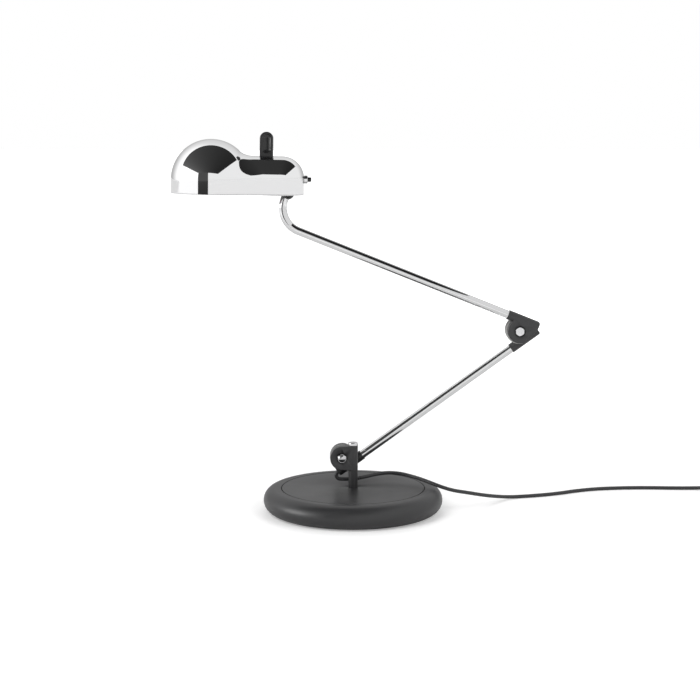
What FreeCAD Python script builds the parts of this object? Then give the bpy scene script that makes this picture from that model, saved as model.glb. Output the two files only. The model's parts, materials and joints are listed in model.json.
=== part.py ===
import FreeCAD, Part
import math
import os

# A desk lamp with two jointed arms: millimetres, +Z up, seen from the front along +Y.
# The origin is the middle of the base, on the table. The post, the upper arm and the head
# stand in the plane y = 0, and the lower arm lies behind it by one joint's depth.

V = FreeCAD.Vector
os.makedirs("parts", exist_ok=True)

# Stance
pivot_offset = 14.8
lower_pivot_height = 73.0
lower_arm_length = 293.15
lower_arm_angle = 36.0
upper_arm_angle = 21.75
upper_arm_straight = 323.5
neck_bend_radius = 32.0
neck_straight = 10.3
head_lift_angle = 1.0

# Fits
running_gap = 0.05
fixed_gap = 0.02
soft_gap = 0.3
overrun = 2.0

# Base
base_radius = 121.0
base_height = 32.4
rim_floor = 0.8
rim_width = 24.0
rim_wall = 2.5
rim_edge_round = 0.9
rim_lip_width = 8.0
pad_gap = 0.5
pad_thickness = 3.6
plate_groove = 0.8
plate_set_down = 0.2
plate_thickness = 2.0
plate_edge_round = 0.5
base_screw_count = 3
base_screw_radius = 2.0
base_screw_head_radius = 3.5
base_screw_head_height = 2.2
base_screw_depth = 11.0

# Post
post_radius = 6.2
post_neck_radius = 4.5
post_seat_depth = 6.0
stud_radius = 4.0
stud_height = 7.0
post_nut_flats = 13.0
post_nut_height = 6.5
post_washer_radius = 8.0
post_washer_thickness = 1.6
ballast_recess_radius = 42.0
ballast_recess_depth = 13.0
cap_radius = 6.55
cap_height = 4.0
cap_round = 1.3
cap_stem_radius = 2.5
cap_stem_length = 9.0
bush_wall = 0.9
bush_flange_thickness = 0.8
bush_end_play = 0.1

# Knuckles
knuckle_thickness = 13.0
near_disc_radius = 16.0
far_disc_radius = 18.0
foot_disc_radius = 16.5
post_sleeve_half = 17.0
arm_sleeve_near = 23.0
arm_sleeve_far = 21.0
foot_sleeve_far = 17.5
sleeve_corner_round = 3.0
post_corner_round = 0.8
flank_drop = 4.0
neck_drop = 6.5
plate_edge_soften = 0.8
tube_insert = 18.0

# Joint bolts
bolt_radius = 3.0
bolt_head_flats = 11.0
bolt_head_height = 4.5
recess_radius = 7.5
recess_depth = 4.0
friction_washer_thickness = 0.8
spring_washer_radius = 5.5
spring_washer_thickness = 1.5
joint_nut_flats = 10.0
joint_nut_height = 5.0
nut_recess_depth = 5.6
bolt_end_proud = 0.8
edge_bevel = 0.7

# Tubes and the wire inside them
tube_radius = 5.5
tube_wall = 1.0
wire_hole_radius = 3.2
upper_wire_radius = 2.2
tube_pin_radius = 1.5
tube_pin_setback = 9.0
grommet_radius = 4.3
grommet_depth = 6.0

# Ball joint
ball_radius = 10.0
ball_wire_hole_radius = 2.8
ball_socket_depth = 6.5
liner_thickness = 1.3
liner_low = 4.0
liner_high = 6.0
socket_radius = 14.5
socket_height = 9.5

# Shade
rim_below_ball = 3.5
dome_radius = 53.3
dome_ahead_of_ball = 100.2
dome_skirt = 18.0
lobe_radius = 29.0
lobe_behind_dome = 93.1
lobe_skirt = 21.4
waist_fillet = 22.0
shade_wall = 1.2

# Head bracket and cover
bracket_thickness = 1.5
bracket_front = 44.0
bracket_flange_height = 5.6
bracket_flange_front = 18.0
bracket_tab_height = 26.0
bracket_tab_half_width = 16.0
bracket_hole_radius = 7.0
bracket_screw_radius = 1.2
bracket_screw_length = 5.5
bracket_screw_head_radius = 2.2
bracket_screw_head_height = 1.3
bracket_screw_count = 3
cover_thickness = 1.5
cover_lift = 1.2
cover_hole_radius = 15.5
cover_screw_ahead = 33.0
cover_screw_side = 16.0
cover_screw_radius = 1.5
cover_screw_head_radius = 2.8
cover_screw_head_height = 1.0

# Lampholder and bulb
holder_height = 29.4
holder_body_radius = 11.5
holder_skirt_radius = 14.0
holder_body_length = 22.0
holder_skirt_length = 18.0
bulb_cap_radius = 7.0
bulb_cap_length = 23.0
bulb_cap_in_holder = 20.0
bulb_radius = 22.5
bulb_glass_length = 57.0
bulb_wall = 0.9
bulb_neck_share = 0.86

# Terminal block and wires in the head
block_length = 17.0
block_width = 12.0
block_height = 9.0
block_ahead_of_ball = 8.0
block_side = 13.0
head_wire_radius = 0.9
head_wire_bend = 1.8
head_wire_spread = 7.0

# Grip
grip_width = 17.5
grip_thickness = 12.0
grip_top_above_ball = 78.4
grip_ahead_of_ball = 28.1
grip_edge_round = 1.8
scoop_radius = 9.0
scoop_depth = 2.4
scoop_length = 25.5
scoop_top_margin = 2.4
grip_screw_radius = 2.0
grip_screw_head_radius = 4.0
grip_screw_head_height = 2.6
grip_screw_depth = 13.0

# Switch
switch_axis_above_ball = 17.0
collar_radius = 5.6
collar_length = 4.7
collar_thread_radius = 4.0
collar_thread_length = 6.8
collar_edge_round = 0.5
switch_body_radius = 5.2
switch_body_length = 19.0
button_radius = 3.1
button_proud = 4.8
button_length = 20.0
button_round = 1.4
spring_length = 6.0
spring_radius = 2.5
spring_bore = 1.9

# Mains cord. The route's points are places in millimetres from the origin.
cord_radius = 2.5
cord_run_share = 0.45
cord_inset = 3.0
lead_first_run = 5.73
lead_points = [
    V(-22.96, 13.8, 44.2),
    V(-19.62, 13.8, 40.5),
    V(-12.0, 13.8, 40.5),
    V(1.4, 14.5, 40.6),
]
cord_points = [
    V(15.0, 21.0, 41.7),
    V(30.2, 31.0, 43.2),
    V(46.9, 38.0, 44.2),
    V(64.7, 37.0, 43.3),
    V(80.8, 26.0, 41.1),
    V(92.5, 11.0, 40.8),
    V(104.1, -3.0, 41.2),
    V(118.6, -9.0, 36.8),
    V(135.0, -6.0, 30.5),
    V(156.3, 7.0, 23.3),
    V(182.7, 27.0, 13.7),
    V(216.7, 63.0, 2.6),
    V(251.0, 70.2, 2.6),
    V(286.6, 84.8, 2.6),
    V(324.1, 109.5, 2.6),
    V(361.7, 121.4, 2.6),
    V(412.7, 125.8, 2.6),
    V(469.4, 122.1, 2.6),
    V(515.0, 121.0, 3.5),
]
coil_centre_x = 562.0
coil_turn_pitch = 5.6
coil_middle_radius = 27.5
coil_layer_turns = 2.875
coil_start_angle = -90.0
tie_thickness = 1.0
tie_width = 7.0
tie_angle = 135.0
tie_gap = 0.3
relief_length = 24.0
relief_start_radius = 3.3
relief_end_radius = 5.6
plug_body_length = 34.0
plug_body_width = 25.0
plug_neck_width = 14.0
plug_edge_round = 3.0
plug_pin_radius = 2.0
plug_pin_length = 19.0
plug_pin_spacing = 18.6
plug_pin_round = 1.2

# Places worked out from the sizes above
rim_round = (base_height - rim_floor) / 2
rim_inner_radius = base_radius - rim_width
rim_lip_radius = rim_inner_radius - rim_lip_width
plate_radius = rim_inner_radius - plate_groove
plate_top = base_height - plate_set_down
ballast_top = plate_top - plate_thickness
post_bottom = ballast_top - post_seat_depth
knuckle_half = knuckle_thickness / 2
joint_depth = knuckle_thickness + friction_washer_thickness
lower_pivot = V(-pivot_offset, 0, lower_pivot_height)
post_shoulder = lower_pivot_height - post_sleeve_half - bush_flange_thickness
post_top = lower_pivot_height + post_sleeve_half + 2 * bush_end_play
tube_bore = tube_radius - tube_wall

lower_rise = math.radians(lower_arm_angle)
upper_rise = math.radians(upper_arm_angle)
lower_along = V(math.cos(lower_rise), 0, math.sin(lower_rise))
lower_across = V(math.sin(lower_rise), 0, -math.cos(lower_rise))
upper_along = V(-math.cos(upper_rise), 0, math.sin(upper_rise))
upper_across = V(math.sin(upper_rise), 0, math.cos(upper_rise))
depth = V(0, 1, 0)
up = V(0, 0, 1)
elbow_pivot = lower_pivot + lower_along * lower_arm_length
lower_foot = lower_pivot + lower_across * pivot_offset + depth * joint_depth
upper_foot = elbow_pivot + upper_across * pivot_offset
neck_corner = upper_foot + upper_along * (upper_arm_straight + neck_bend_radius)
ball_centre = neck_corner + upper_across * (neck_bend_radius + neck_straight)


# Helpers
def cylinder(radius, start, end):
    """A round bar from one point to another."""
    run = end - start
    return Part.makeCylinder(radius, run.Length, start, run)


def ring(outer, inner, start, end):
    """A round bar with a bore that runs through it."""
    reach = (end - start).normalize() * overrun
    return cylinder(outer, start, end).cut(cylinder(inner, start - reach, end + reach))


def block(low, high):
    """A box between two opposite corners."""
    size = high - low
    return Part.makeBox(size.x, size.y, size.z, low)


def hexagon(flats, start, end):
    """A hexagon bar with its far end bevelled, as a bolt's head or a nut has it."""
    run = end - start
    corner = flats / math.sqrt(3)
    side = run.cross(V(1, 0, 0)) if abs(run.x) < abs(run.z) + abs(run.y) else run.cross(up)
    side = side.normalize()
    turn = FreeCAD.Rotation(run, 60)
    points = [side * corner]
    for _ in range(6):
        points.append(turn.multVec(points[-1]))
    bar = Part.Face(Part.makePolygon([start + p for p in points])).extrude(run)
    bevelled = cylinder(corner, start, end - run.normalize() * edge_bevel).fuse(
        Part.makeCone(corner, corner - edge_bevel, edge_bevel,
                      end - run.normalize() * edge_bevel, run))
    return bar.common(bevelled)


def arc_by(start, middle, end):
    return Part.Arc(start, middle, end).toShape()


def line(start, end):
    return Part.LineSegment(start, end).toShape()


def rounded_path(points, radii):
    """Straight runs through the points, with a tangent arc of the given radius at each corner."""
    edges = []
    last = points[0]
    for before, corner, after, radius in zip(points, points[1:], points[2:], radii):
        inward = (before - corner).normalize()
        onward = (after - corner).normalize()
        half_turn = (math.pi - inward.getAngle(onward)) / 2
        setback = radius * math.tan(half_turn)
        middle_way = (inward + onward).normalize()
        middle = corner + middle_way * (radius / math.cos(half_turn) - radius)
        start = corner + inward * setback
        end = corner + onward * setback
        edges.append(line(last, start))
        edges.append(arc_by(start, middle, end))
        last = end
    edges.append(line(last, points[-1]))
    return Part.Wire(edges)


def swept(radius, path):
    """A round bar along a path."""
    first = path.Edges[0]
    start = path.OrderedVertexes[0].Point
    heading = first.tangentAt(first.FirstParameter)
    section = Part.Wire(Part.makeCircle(radius, start, heading))
    return path.makePipeShell([section], True, False)


def free_radii(points):
    """At each corner, the largest radius that its shorter run leaves room for."""
    radii = []
    for before, corner, after in zip(points, points[1:], points[2:]):
        turn = (corner - before).getAngle(after - corner)
        shorter = min((corner - before).Length, (after - corner).Length)
        radii.append(cord_run_share * shorter / math.tan(turn / 2))
    return radii


def about_ball(shape):
    """Lifts the front of the level head a little, about the centre of the ball."""
    lifted = shape.copy()
    lifted.rotate(ball_centre, depth, head_lift_angle)
    return lifted


def save(name, shape):
    shape.exportStep("parts/" + name + ".step")
    print(name, len(shape.Solids), "solid", shape.isValid(), round(shape.Volume, 1))


# Base
def base():
    centre = rim_floor + rim_round
    shoulder = base_radius - rim_round
    corner = rim_edge_round * (1 - math.sqrt(0.5))
    section = Part.Wire([
        line(V(rim_lip_radius, 0, rim_floor), V(shoulder, 0, rim_floor)),
        arc_by(V(shoulder, 0, rim_floor), V(base_radius, 0, centre), V(shoulder, 0, base_height)),
        line(V(shoulder, 0, base_height), V(rim_inner_radius + rim_edge_round, 0, base_height)),
        arc_by(V(rim_inner_radius + rim_edge_round, 0, base_height),
               V(rim_inner_radius + corner, 0, base_height - corner),
               V(rim_inner_radius, 0, base_height - rim_edge_round)),
        line(V(rim_inner_radius, 0, base_height - rim_edge_round),
             V(rim_inner_radius, 0, pad_thickness)),
        line(V(rim_inner_radius, 0, pad_thickness), V(rim_lip_radius, 0, pad_thickness)),
        line(V(rim_lip_radius, 0, pad_thickness), V(rim_lip_radius, 0, rim_floor)),
    ])
    rim = Part.Face(section).revolve(V(0, 0, 0), up, 360)
    leg = rim_inner_radius + rim_wall
    roof = base_height - rim_wall
    hollow = Part.Wire([
        line(V(leg, 0, -overrun), V(leg, 0, roof)),
        line(V(leg, 0, roof), V(shoulder, 0, roof)),
        arc_by(V(shoulder, 0, roof), V(base_radius - rim_wall, 0, centre),
               V(shoulder, 0, rim_floor + rim_wall)),
        line(V(shoulder, 0, rim_floor + rim_wall), V(shoulder, 0, -overrun)),
        line(V(shoulder, 0, -overrun), V(leg, 0, -overrun)),
    ])
    rim = rim.cut(Part.Face(hollow).revolve(V(0, 0, 0), up, 360))

    pad = cylinder(rim_lip_radius - pad_gap, V(0, 0, 0), up * pad_thickness)

    ballast = cylinder(plate_radius, up * pad_thickness, up * ballast_top)
    ballast = ballast.cut(cylinder(post_radius + fixed_gap, up * post_bottom, up * (ballast_top + overrun)))
    ballast = ballast.cut(cylinder(stud_radius + running_gap, V(0, 0, 0), up * ballast_top))
    ballast = ballast.cut(cylinder(ballast_recess_radius, V(0, 0, 0),
                                   up * (pad_thickness + ballast_recess_depth)))

    plate = cylinder(plate_radius, up * ballast_top, up * plate_top)
    plate = plate.makeFillet(plate_edge_round, [e for e in plate.Edges
                                                if len(e.Vertexes) == 1 and e.BoundBox.ZMin > ballast_top])
    plate = plate.cut(cylinder(post_radius + fixed_gap, V(0, 0, 0), up * (plate_top + overrun)))

    screws = []
    lip_middle = (rim_lip_radius + plate_radius) / 2
    for step in range(base_screw_count):
        angle = 2 * math.pi * step / base_screw_count + math.pi / 2
        foot = V(lip_middle * math.cos(angle), lip_middle * math.sin(angle), rim_floor)
        head_top = foot + up * base_screw_head_height
        rim = rim.cut(cylinder(base_screw_head_radius + running_gap, foot - up * overrun, head_top))
        rim = rim.cut(cylinder(base_screw_radius + running_gap, foot, foot + up * pad_thickness))
        hole_top = V(foot.x, foot.y, pad_thickness + base_screw_depth)
        ballast = ballast.cut(cylinder(base_screw_radius + fixed_gap, foot, hole_top))
        screws.append(cylinder(base_screw_head_radius, foot, head_top)
                      .fuse(cylinder(base_screw_radius, head_top, hole_top)).removeSplitter())
    save("base_rim", rim)
    save("base_pad", pad)
    save("base_ballast", ballast)
    save("base_top_plate", plate)
    save("base_screws", Part.makeCompound(screws))


def post():
    upright = cylinder(post_radius, up * post_bottom, up * post_shoulder)
    upright = upright.fuse(cylinder(post_neck_radius, up * post_shoulder, up * post_top))
    upright = upright.fuse(cylinder(stud_radius, up * stud_height, up * post_bottom))
    upright = upright.removeSplitter()
    stem_foot = post_top - cap_stem_length
    upright = upright.cut(cylinder(cap_stem_radius + fixed_gap, up * stem_foot, up * (post_top + overrun)))
    save("post", upright)

    seat = pad_thickness + ballast_recess_depth
    washer_bottom = seat - post_washer_thickness
    save("post_washer", ring(post_washer_radius, stud_radius + running_gap, up * washer_bottom, up * seat))
    nut = hexagon(post_nut_flats, up * washer_bottom, up * (washer_bottom - post_nut_height))
    save("post_nut", nut.cut(cylinder(stud_radius + fixed_gap, V(0, 0, 0), up * seat)))

    cap = cylinder(cap_radius, up * post_top, up * (post_top + cap_height))
    cap = cap.makeFillet(cap_round, [e for e in cap.Edges
                                     if len(e.Vertexes) == 1 and e.BoundBox.ZMin > post_top])
    save("post_cap", cap.fuse(cylinder(cap_stem_radius, up * stem_foot, up * post_top)).removeSplitter())

    flange_top = post_shoulder + bush_flange_thickness
    bore = post_neck_radius + running_gap
    bush_outer = bore + bush_wall
    bush_top = post_top - bush_end_play
    bush = cylinder(knuckle_half, up * post_shoulder, up * flange_top)
    bush = bush.fuse(cylinder(bush_outer, up * flange_top, up * bush_top)).removeSplitter()
    save("swivel_bush", bush.cut(cylinder(bore, V(0, 0, 0), up * (post_top + overrun))))


# Knuckles
def knuckle(pivot, along, across, middle, disc, near, far, corner, near_corner, flank):
    """One half of a joint: a thick plate round the pivot, which ends in a round sleeve.

    Along runs towards the tube and across from the pivot to the sleeve, whose outer side is a
    half round. The plate's edge leaves the sleeve's closed end in a straight flank that is
    tangent to the disc round the pivot.
    """
    def spot(a, b):
        return pivot + along * a + across * b + depth * (middle - knuckle_half)

    def tangent(a, b, side):
        reach = math.hypot(a, b)
        swing = math.acos(min(1, disc / reach))
        angle = math.atan2(b, a) + side * swing
        return angle if angle > 0 else angle + 2 * math.pi

    top = pivot_offset + knuckle_half
    bow = corner * (1 - math.sqrt(0.5))
    first = tangent(-far, flank, 1)
    last = tangent(near_corner[0], near_corner[1], -1)
    last = last + 2 * math.pi if last < first else last
    arc_points = [spot(disc * math.cos(a), disc * math.sin(a)) for a in (first, (first + last) / 2, last)]
    soft = [line(spot(-far, flank), arc_points[0]), arc_by(*arc_points)]
    if math.hypot(*near_corner) > disc + fixed_gap:
        soft.append(line(arc_points[2], spot(*near_corner)))
    edges = soft + [
        line(soft[-1].Vertexes[-1].Point, spot(near_corner[0], top)),
        line(spot(near_corner[0], top), spot(-far + corner, top)),
        arc_by(spot(-far + corner, top), spot(-far + bow, top - bow), spot(-far, top - corner)),
        line(spot(-far, top - corner), spot(-far, flank)),
    ]
    plate = Part.Face(Part.Wire(edges)).extrude(depth * knuckle_thickness)
    soft_middles = [e.valueAt((e.FirstParameter + e.LastParameter) / 2) for e in soft]
    rims = []
    for e in plate.Edges:
        point = e.valueAt((e.FirstParameter + e.LastParameter) / 2)
        for shift in (0, knuckle_thickness):
            if any((point - m - depth * shift).Length < fixed_gap for m in soft_middles):
                rims.append(e)
    plate = plate.makeFillet(plate_edge_soften, rims)

    sleeve_axis = pivot + across * pivot_offset + depth * middle
    reach = along * (far + near)
    bar = cylinder(knuckle_half, sleeve_axis - reach, sleeve_axis + reach)
    low = Part.Face(Part.makePolygon([
        spot(-far - near, pivot_offset), spot(far + near, pivot_offset),
        spot(far + near, -far - near), spot(-far - near, -far - near),
        spot(-far - near, pivot_offset)])).extrude(depth * knuckle_thickness)
    body = plate.common(bar.fuse(low))
    body = body.fuse(cylinder(knuckle_half, sleeve_axis, sleeve_axis + along * near))
    return body.removeSplitter()


def bolt_holes(body, pivot, middle, head_side):
    """Cuts the bolt's bore, and the recess for its head in front or for its nut behind."""
    front = pivot + depth * (middle - knuckle_half)
    back = pivot + depth * (middle + knuckle_half)
    body = body.cut(cylinder(bolt_radius + running_gap, front - depth * overrun, back + depth * overrun))
    if head_side:
        return body.cut(cylinder(recess_radius, front - depth * overrun, front + depth * recess_depth))
    return body.cut(cylinder(recess_radius, back - depth * nut_recess_depth, back + depth * overrun))


def tube_holes(body, pivot, along, across, middle, blind):
    """Cuts the tube's seat, the wire's way behind it and the pin's hole in the back."""
    axis = pivot + across * pivot_offset + depth * middle
    seat = axis + along * (arm_sleeve_near - tube_insert)
    body = body.cut(cylinder(tube_radius + fixed_gap, seat, axis + along * (arm_sleeve_near + overrun)))
    body = body.cut(cylinder(wire_hole_radius, axis - along * blind, seat + along * overrun))
    return body.cut(pin_bar(axis, along, fixed_gap, overrun))


def pin_bar(axis, along, gap, proud):
    """The pin that holds a tube in its sleeve, from the sleeve's back through the tube's wall."""
    foot = axis + along * (arm_sleeve_near - tube_pin_setback)
    return cylinder(tube_pin_radius + gap, foot + depth * tube_bore, foot + depth * (knuckle_half + proud))


def joint_hardware(pivot, disc, names):
    """The bolt, the washer between the halves, and the spring washer and nut behind."""
    front = pivot - depth * (knuckle_half - recess_depth)
    head = hexagon(bolt_head_flats, front, front - depth * bolt_head_height)
    meeting = pivot + depth * knuckle_half
    behind = pivot + depth * (joint_depth + knuckle_half - nut_recess_depth)
    nut_foot = behind + depth * spring_washer_thickness
    end = nut_foot + depth * (joint_nut_height + bolt_end_proud)
    bore = bolt_radius + fixed_gap
    save(names[0], head.fuse(cylinder(bolt_radius, front, end)).removeSplitter())
    save(names[1], ring(disc, bore, meeting, meeting + depth * friction_washer_thickness))
    save(names[2], ring(spring_washer_radius, bore, behind, nut_foot))
    nut = hexagon(joint_nut_flats, nut_foot, nut_foot + depth * joint_nut_height)
    save(names[3], nut.cut(cylinder(bore, behind, end)))


def neck_corner_on(disc):
    """Where the disc's edge meets the open end of the sleeve."""
    rise = pivot_offset - neck_drop
    return (math.sqrt(disc * disc - rise * rise), rise)


def lower_joint():
    half = post_sleeve_half + bush_end_play
    body = knuckle(lower_pivot, up * -1, V(1, 0, 0), 0, near_disc_radius, post_sleeve_half, half,
                   post_corner_round, (post_sleeve_half, pivot_offset), pivot_offset)
    body = bolt_holes(body, lower_pivot, 0, True)
    bush_outer = post_neck_radius + running_gap + bush_wall
    save("post_knuckle", body.cut(cylinder(bush_outer + fixed_gap, V(0, 0, 0), up * (post_top + overrun))))
    joint_hardware(lower_pivot, foot_disc_radius,
                   ("lower_bolt", "lower_friction_washer", "lower_spring_washer", "lower_nut"))


def lower_arm():
    flank = pivot_offset - flank_drop
    foot = knuckle(lower_pivot, lower_along, lower_across, joint_depth, foot_disc_radius,
                   arm_sleeve_near, foot_sleeve_far, sleeve_corner_round,
                   neck_corner_on(foot_disc_radius), flank)
    foot = bolt_holes(foot, lower_pivot, joint_depth, False)
    foot = tube_holes(foot, lower_pivot, lower_along, lower_across, joint_depth, foot_sleeve_far + overrun)
    exit_face = lower_foot - lower_along * foot_sleeve_far
    grommet_top = exit_face + lower_along * grommet_depth
    foot = foot.cut(cylinder(grommet_radius + fixed_gap, exit_face - lower_along * overrun, grommet_top))
    save("lower_arm_foot_knuckle", foot)
    save("cord_grommet", ring(grommet_radius, cord_radius + fixed_gap, exit_face, grommet_top))

    back = lower_along * -1
    top = knuckle(elbow_pivot, back, lower_across, joint_depth, far_disc_radius,
                  arm_sleeve_near, arm_sleeve_far, sleeve_corner_round,
                  neck_corner_on(far_disc_radius), flank)
    top = bolt_holes(top, elbow_pivot, joint_depth, False)
    save("lower_arm_elbow_knuckle",
         tube_holes(top, elbow_pivot, back, lower_across, joint_depth, arm_sleeve_far / 2))

    inset = arm_sleeve_near - tube_insert
    start = lower_foot + lower_along * inset
    end = lower_foot + lower_along * (lower_arm_length - inset)
    elbow_foot = lower_foot + lower_along * lower_arm_length
    pins = [pin_bar(lower_foot, lower_along, 0, 0), pin_bar(elbow_foot, back, 0, 0)]
    tube = ring(tube_radius, tube_bore, start, end)
    for axis, way in ((lower_foot, lower_along), (elbow_foot, back)):
        tube = tube.cut(pin_bar(axis, way, fixed_gap, 0))
    save("lower_arm_tube", tube)
    save("lower_arm_pins", Part.makeCompound(pins))
    cord_start = exit_face + lower_along * cord_inset
    save("lower_arm_wire", cylinder(cord_radius, cord_start, end + lower_along * inset))
    return cord_start


def upper_arm():
    body = knuckle(elbow_pivot, upper_along, upper_across, 0, near_disc_radius,
                   arm_sleeve_near, arm_sleeve_far, sleeve_corner_round,
                   neck_corner_on(near_disc_radius), pivot_offset - flank_drop)
    body = bolt_holes(body, elbow_pivot, 0, True)
    save("upper_arm_elbow_knuckle",
         tube_holes(body, elbow_pivot, upper_along, upper_across, 0, arm_sleeve_far / 2))
    joint_hardware(elbow_pivot, far_disc_radius,
                   ("elbow_bolt", "elbow_friction_washer", "elbow_spring_washer", "elbow_nut"))

    inset = arm_sleeve_near - tube_insert
    start = upper_foot + upper_along * inset
    end = ball_centre - upper_across * (ball_radius - ball_socket_depth)
    tube = swept(tube_radius, rounded_path([start, neck_corner, end], [neck_bend_radius]))
    hollow = rounded_path([start - upper_along * overrun, neck_corner, end + upper_across * overrun],
                          [neck_bend_radius])
    tube = tube.cut(swept(tube_bore, hollow))
    save("upper_arm_tube", tube.cut(pin_bar(upper_foot, upper_along, fixed_gap, 0)))
    save("upper_arm_pin", pin_bar(upper_foot, upper_along, 0, 0))
    wire_end = ball_centre + upper_across * ball_wire_hole_radius
    save("upper_arm_wire", swept(upper_wire_radius, rounded_path([start, neck_corner, wire_end],
                                                                 [neck_bend_radius])))


# Ball joint
def ball_joint():
    ball = Part.makeSphere(ball_radius, ball_centre)
    far_out = ball_centre - upper_across * (ball_radius + overrun)
    floor = ball_centre - upper_across * (ball_radius - ball_socket_depth)
    ball = ball.cut(cylinder(tube_radius + running_gap, far_out, floor))
    ball_foot = ball_centre + upper_across * (ball_radius + overrun)
    ball = ball.cut(cylinder(ball_wire_hole_radius, floor, ball_foot))
    save("ball_stud", ball)

    inner = ball_radius + running_gap
    outer = inner + liner_thickness
    low = ball_centre - up * liner_low
    liner = Part.makeSphere(outer, ball_centre).cut(Part.makeSphere(inner, ball_centre))
    liner = liner.common(cylinder(outer + overrun, low, ball_centre + up * liner_high))
    save("ball_liner", about_ball(liner))

    seat = Part.makeSphere(outer + running_gap, ball_centre)
    top = ball_centre + up * socket_height
    save("socket_ring", about_ball(cylinder(socket_radius, low, ball_centre).cut(seat)))
    socket = cylinder(socket_radius, ball_centre, top).cut(seat)
    screws = []
    plate_face = top + up * bracket_thickness
    head_face = plate_face + up * bracket_screw_head_height
    ring_middle = socket_radius - bracket_screw_head_radius
    for step in range(bracket_screw_count):
        angle = 2 * math.pi * step / bracket_screw_count + math.pi
        shift = V(ring_middle * math.cos(angle), ring_middle * math.sin(angle), 0)
        foot = plate_face - up * bracket_screw_length + shift
        socket = socket.cut(cylinder(bracket_screw_radius + fixed_gap, foot, head_face + shift))
        screws.append(cylinder(bracket_screw_radius, foot, plate_face + shift)
                      .fuse(cylinder(bracket_screw_head_radius, plate_face + shift, head_face + shift))
                      .removeSplitter())
    save("ball_socket", about_ball(socket))
    save("bracket_screws", about_ball(Part.makeCompound(screws)))
    return screws


# Shade
dome_centre = ball_centre + V(-dome_ahead_of_ball, 0, dome_skirt - rim_below_ball)
lobe_centre = ball_centre + V(lobe_behind_dome - dome_ahead_of_ball, 0, lobe_skirt - rim_below_ball)
rim_level = ball_centre.z - rim_below_ball


def two_lobes(inset, below):
    """The shade's outline as a solid: a round dome and a narrow round-ended lobe, with the
    hollow between them rounded. Inset shrinks it evenly, and below lowers its open edge."""
    floor = rim_level - below
    dome_r = dome_radius - inset
    lobe_r = lobe_radius - inset
    dome_foot = V(dome_centre.x, 0, floor)
    lobe_foot = V(lobe_centre.x, 0, floor)
    dome = cylinder(dome_r, dome_foot, dome_centre).fuse(
        Part.makeSphere(dome_r, dome_centre, up, 0, 90, 360))
    start = V(dome_centre.x, -lobe_r, floor)
    wall = block(start, V(lobe_centre.x, lobe_r, lobe_centre.z))
    back = cylinder(lobe_r, V(dome_centre.x, 0, lobe_centre.z), lobe_centre)
    end = cylinder(lobe_r, lobe_foot, lobe_centre).fuse(Part.makeSphere(lobe_r, lobe_centre))
    room = block(start - V(0, dome_radius, 0),
                 lobe_centre + V(dome_radius, dome_radius, dome_radius))
    lobe = wall.fuse([back, end]).common(room)
    both = dome.fuse(lobe).removeSplitter()
    seams = []
    for e in both.Edges:
        p = e.valueAt((e.FirstParameter + e.LastParameter) / 2)
        from_dome = math.hypot(p.x - dome_centre.x, p.y, max(p.z - dome_centre.z, 0)) - dome_r
        from_lobe = math.hypot(p.y, max(p.z - lobe_centre.z, 0)) - lobe_r
        if abs(from_dome) < fixed_gap and abs(from_lobe) < fixed_gap and p.z > floor + fixed_gap:
            seams.append(e)
    return both.makeFillet(waist_fillet + inset, seams)


def shade():
    shell = two_lobes(0, 0).cut(two_lobes(shade_wall, overrun))
    crest = V(ball_centre.x - grip_ahead_of_ball, 0, lobe_centre.z)
    shell = shell.cut(cylinder(grip_screw_radius + running_gap, crest,
                               crest + up * (lobe_radius + overrun)))
    shell = shell.cut(cylinder(collar_thread_radius + fixed_gap, switch_point(2 * shade_wall),
                               switch_point(-shade_wall)))
    save("shade", about_ball(shell))


def switch_point(setback):
    """A point on the switch's axis, measured inwards from the shade's rear face."""
    return V(lobe_centre.x + lobe_radius - setback, 0, ball_centre.z + switch_axis_above_ball)


def switch_body_setback():
    """How far in the switch's body starts, where its front edge meets the curved shade."""
    inner = lobe_radius - shade_wall
    edge = switch_body_radius + abs(lobe_centre.z - ball_centre.z - switch_axis_above_ball)
    return lobe_radius - math.sqrt(inner * inner - edge * edge) + fixed_gap


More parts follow.
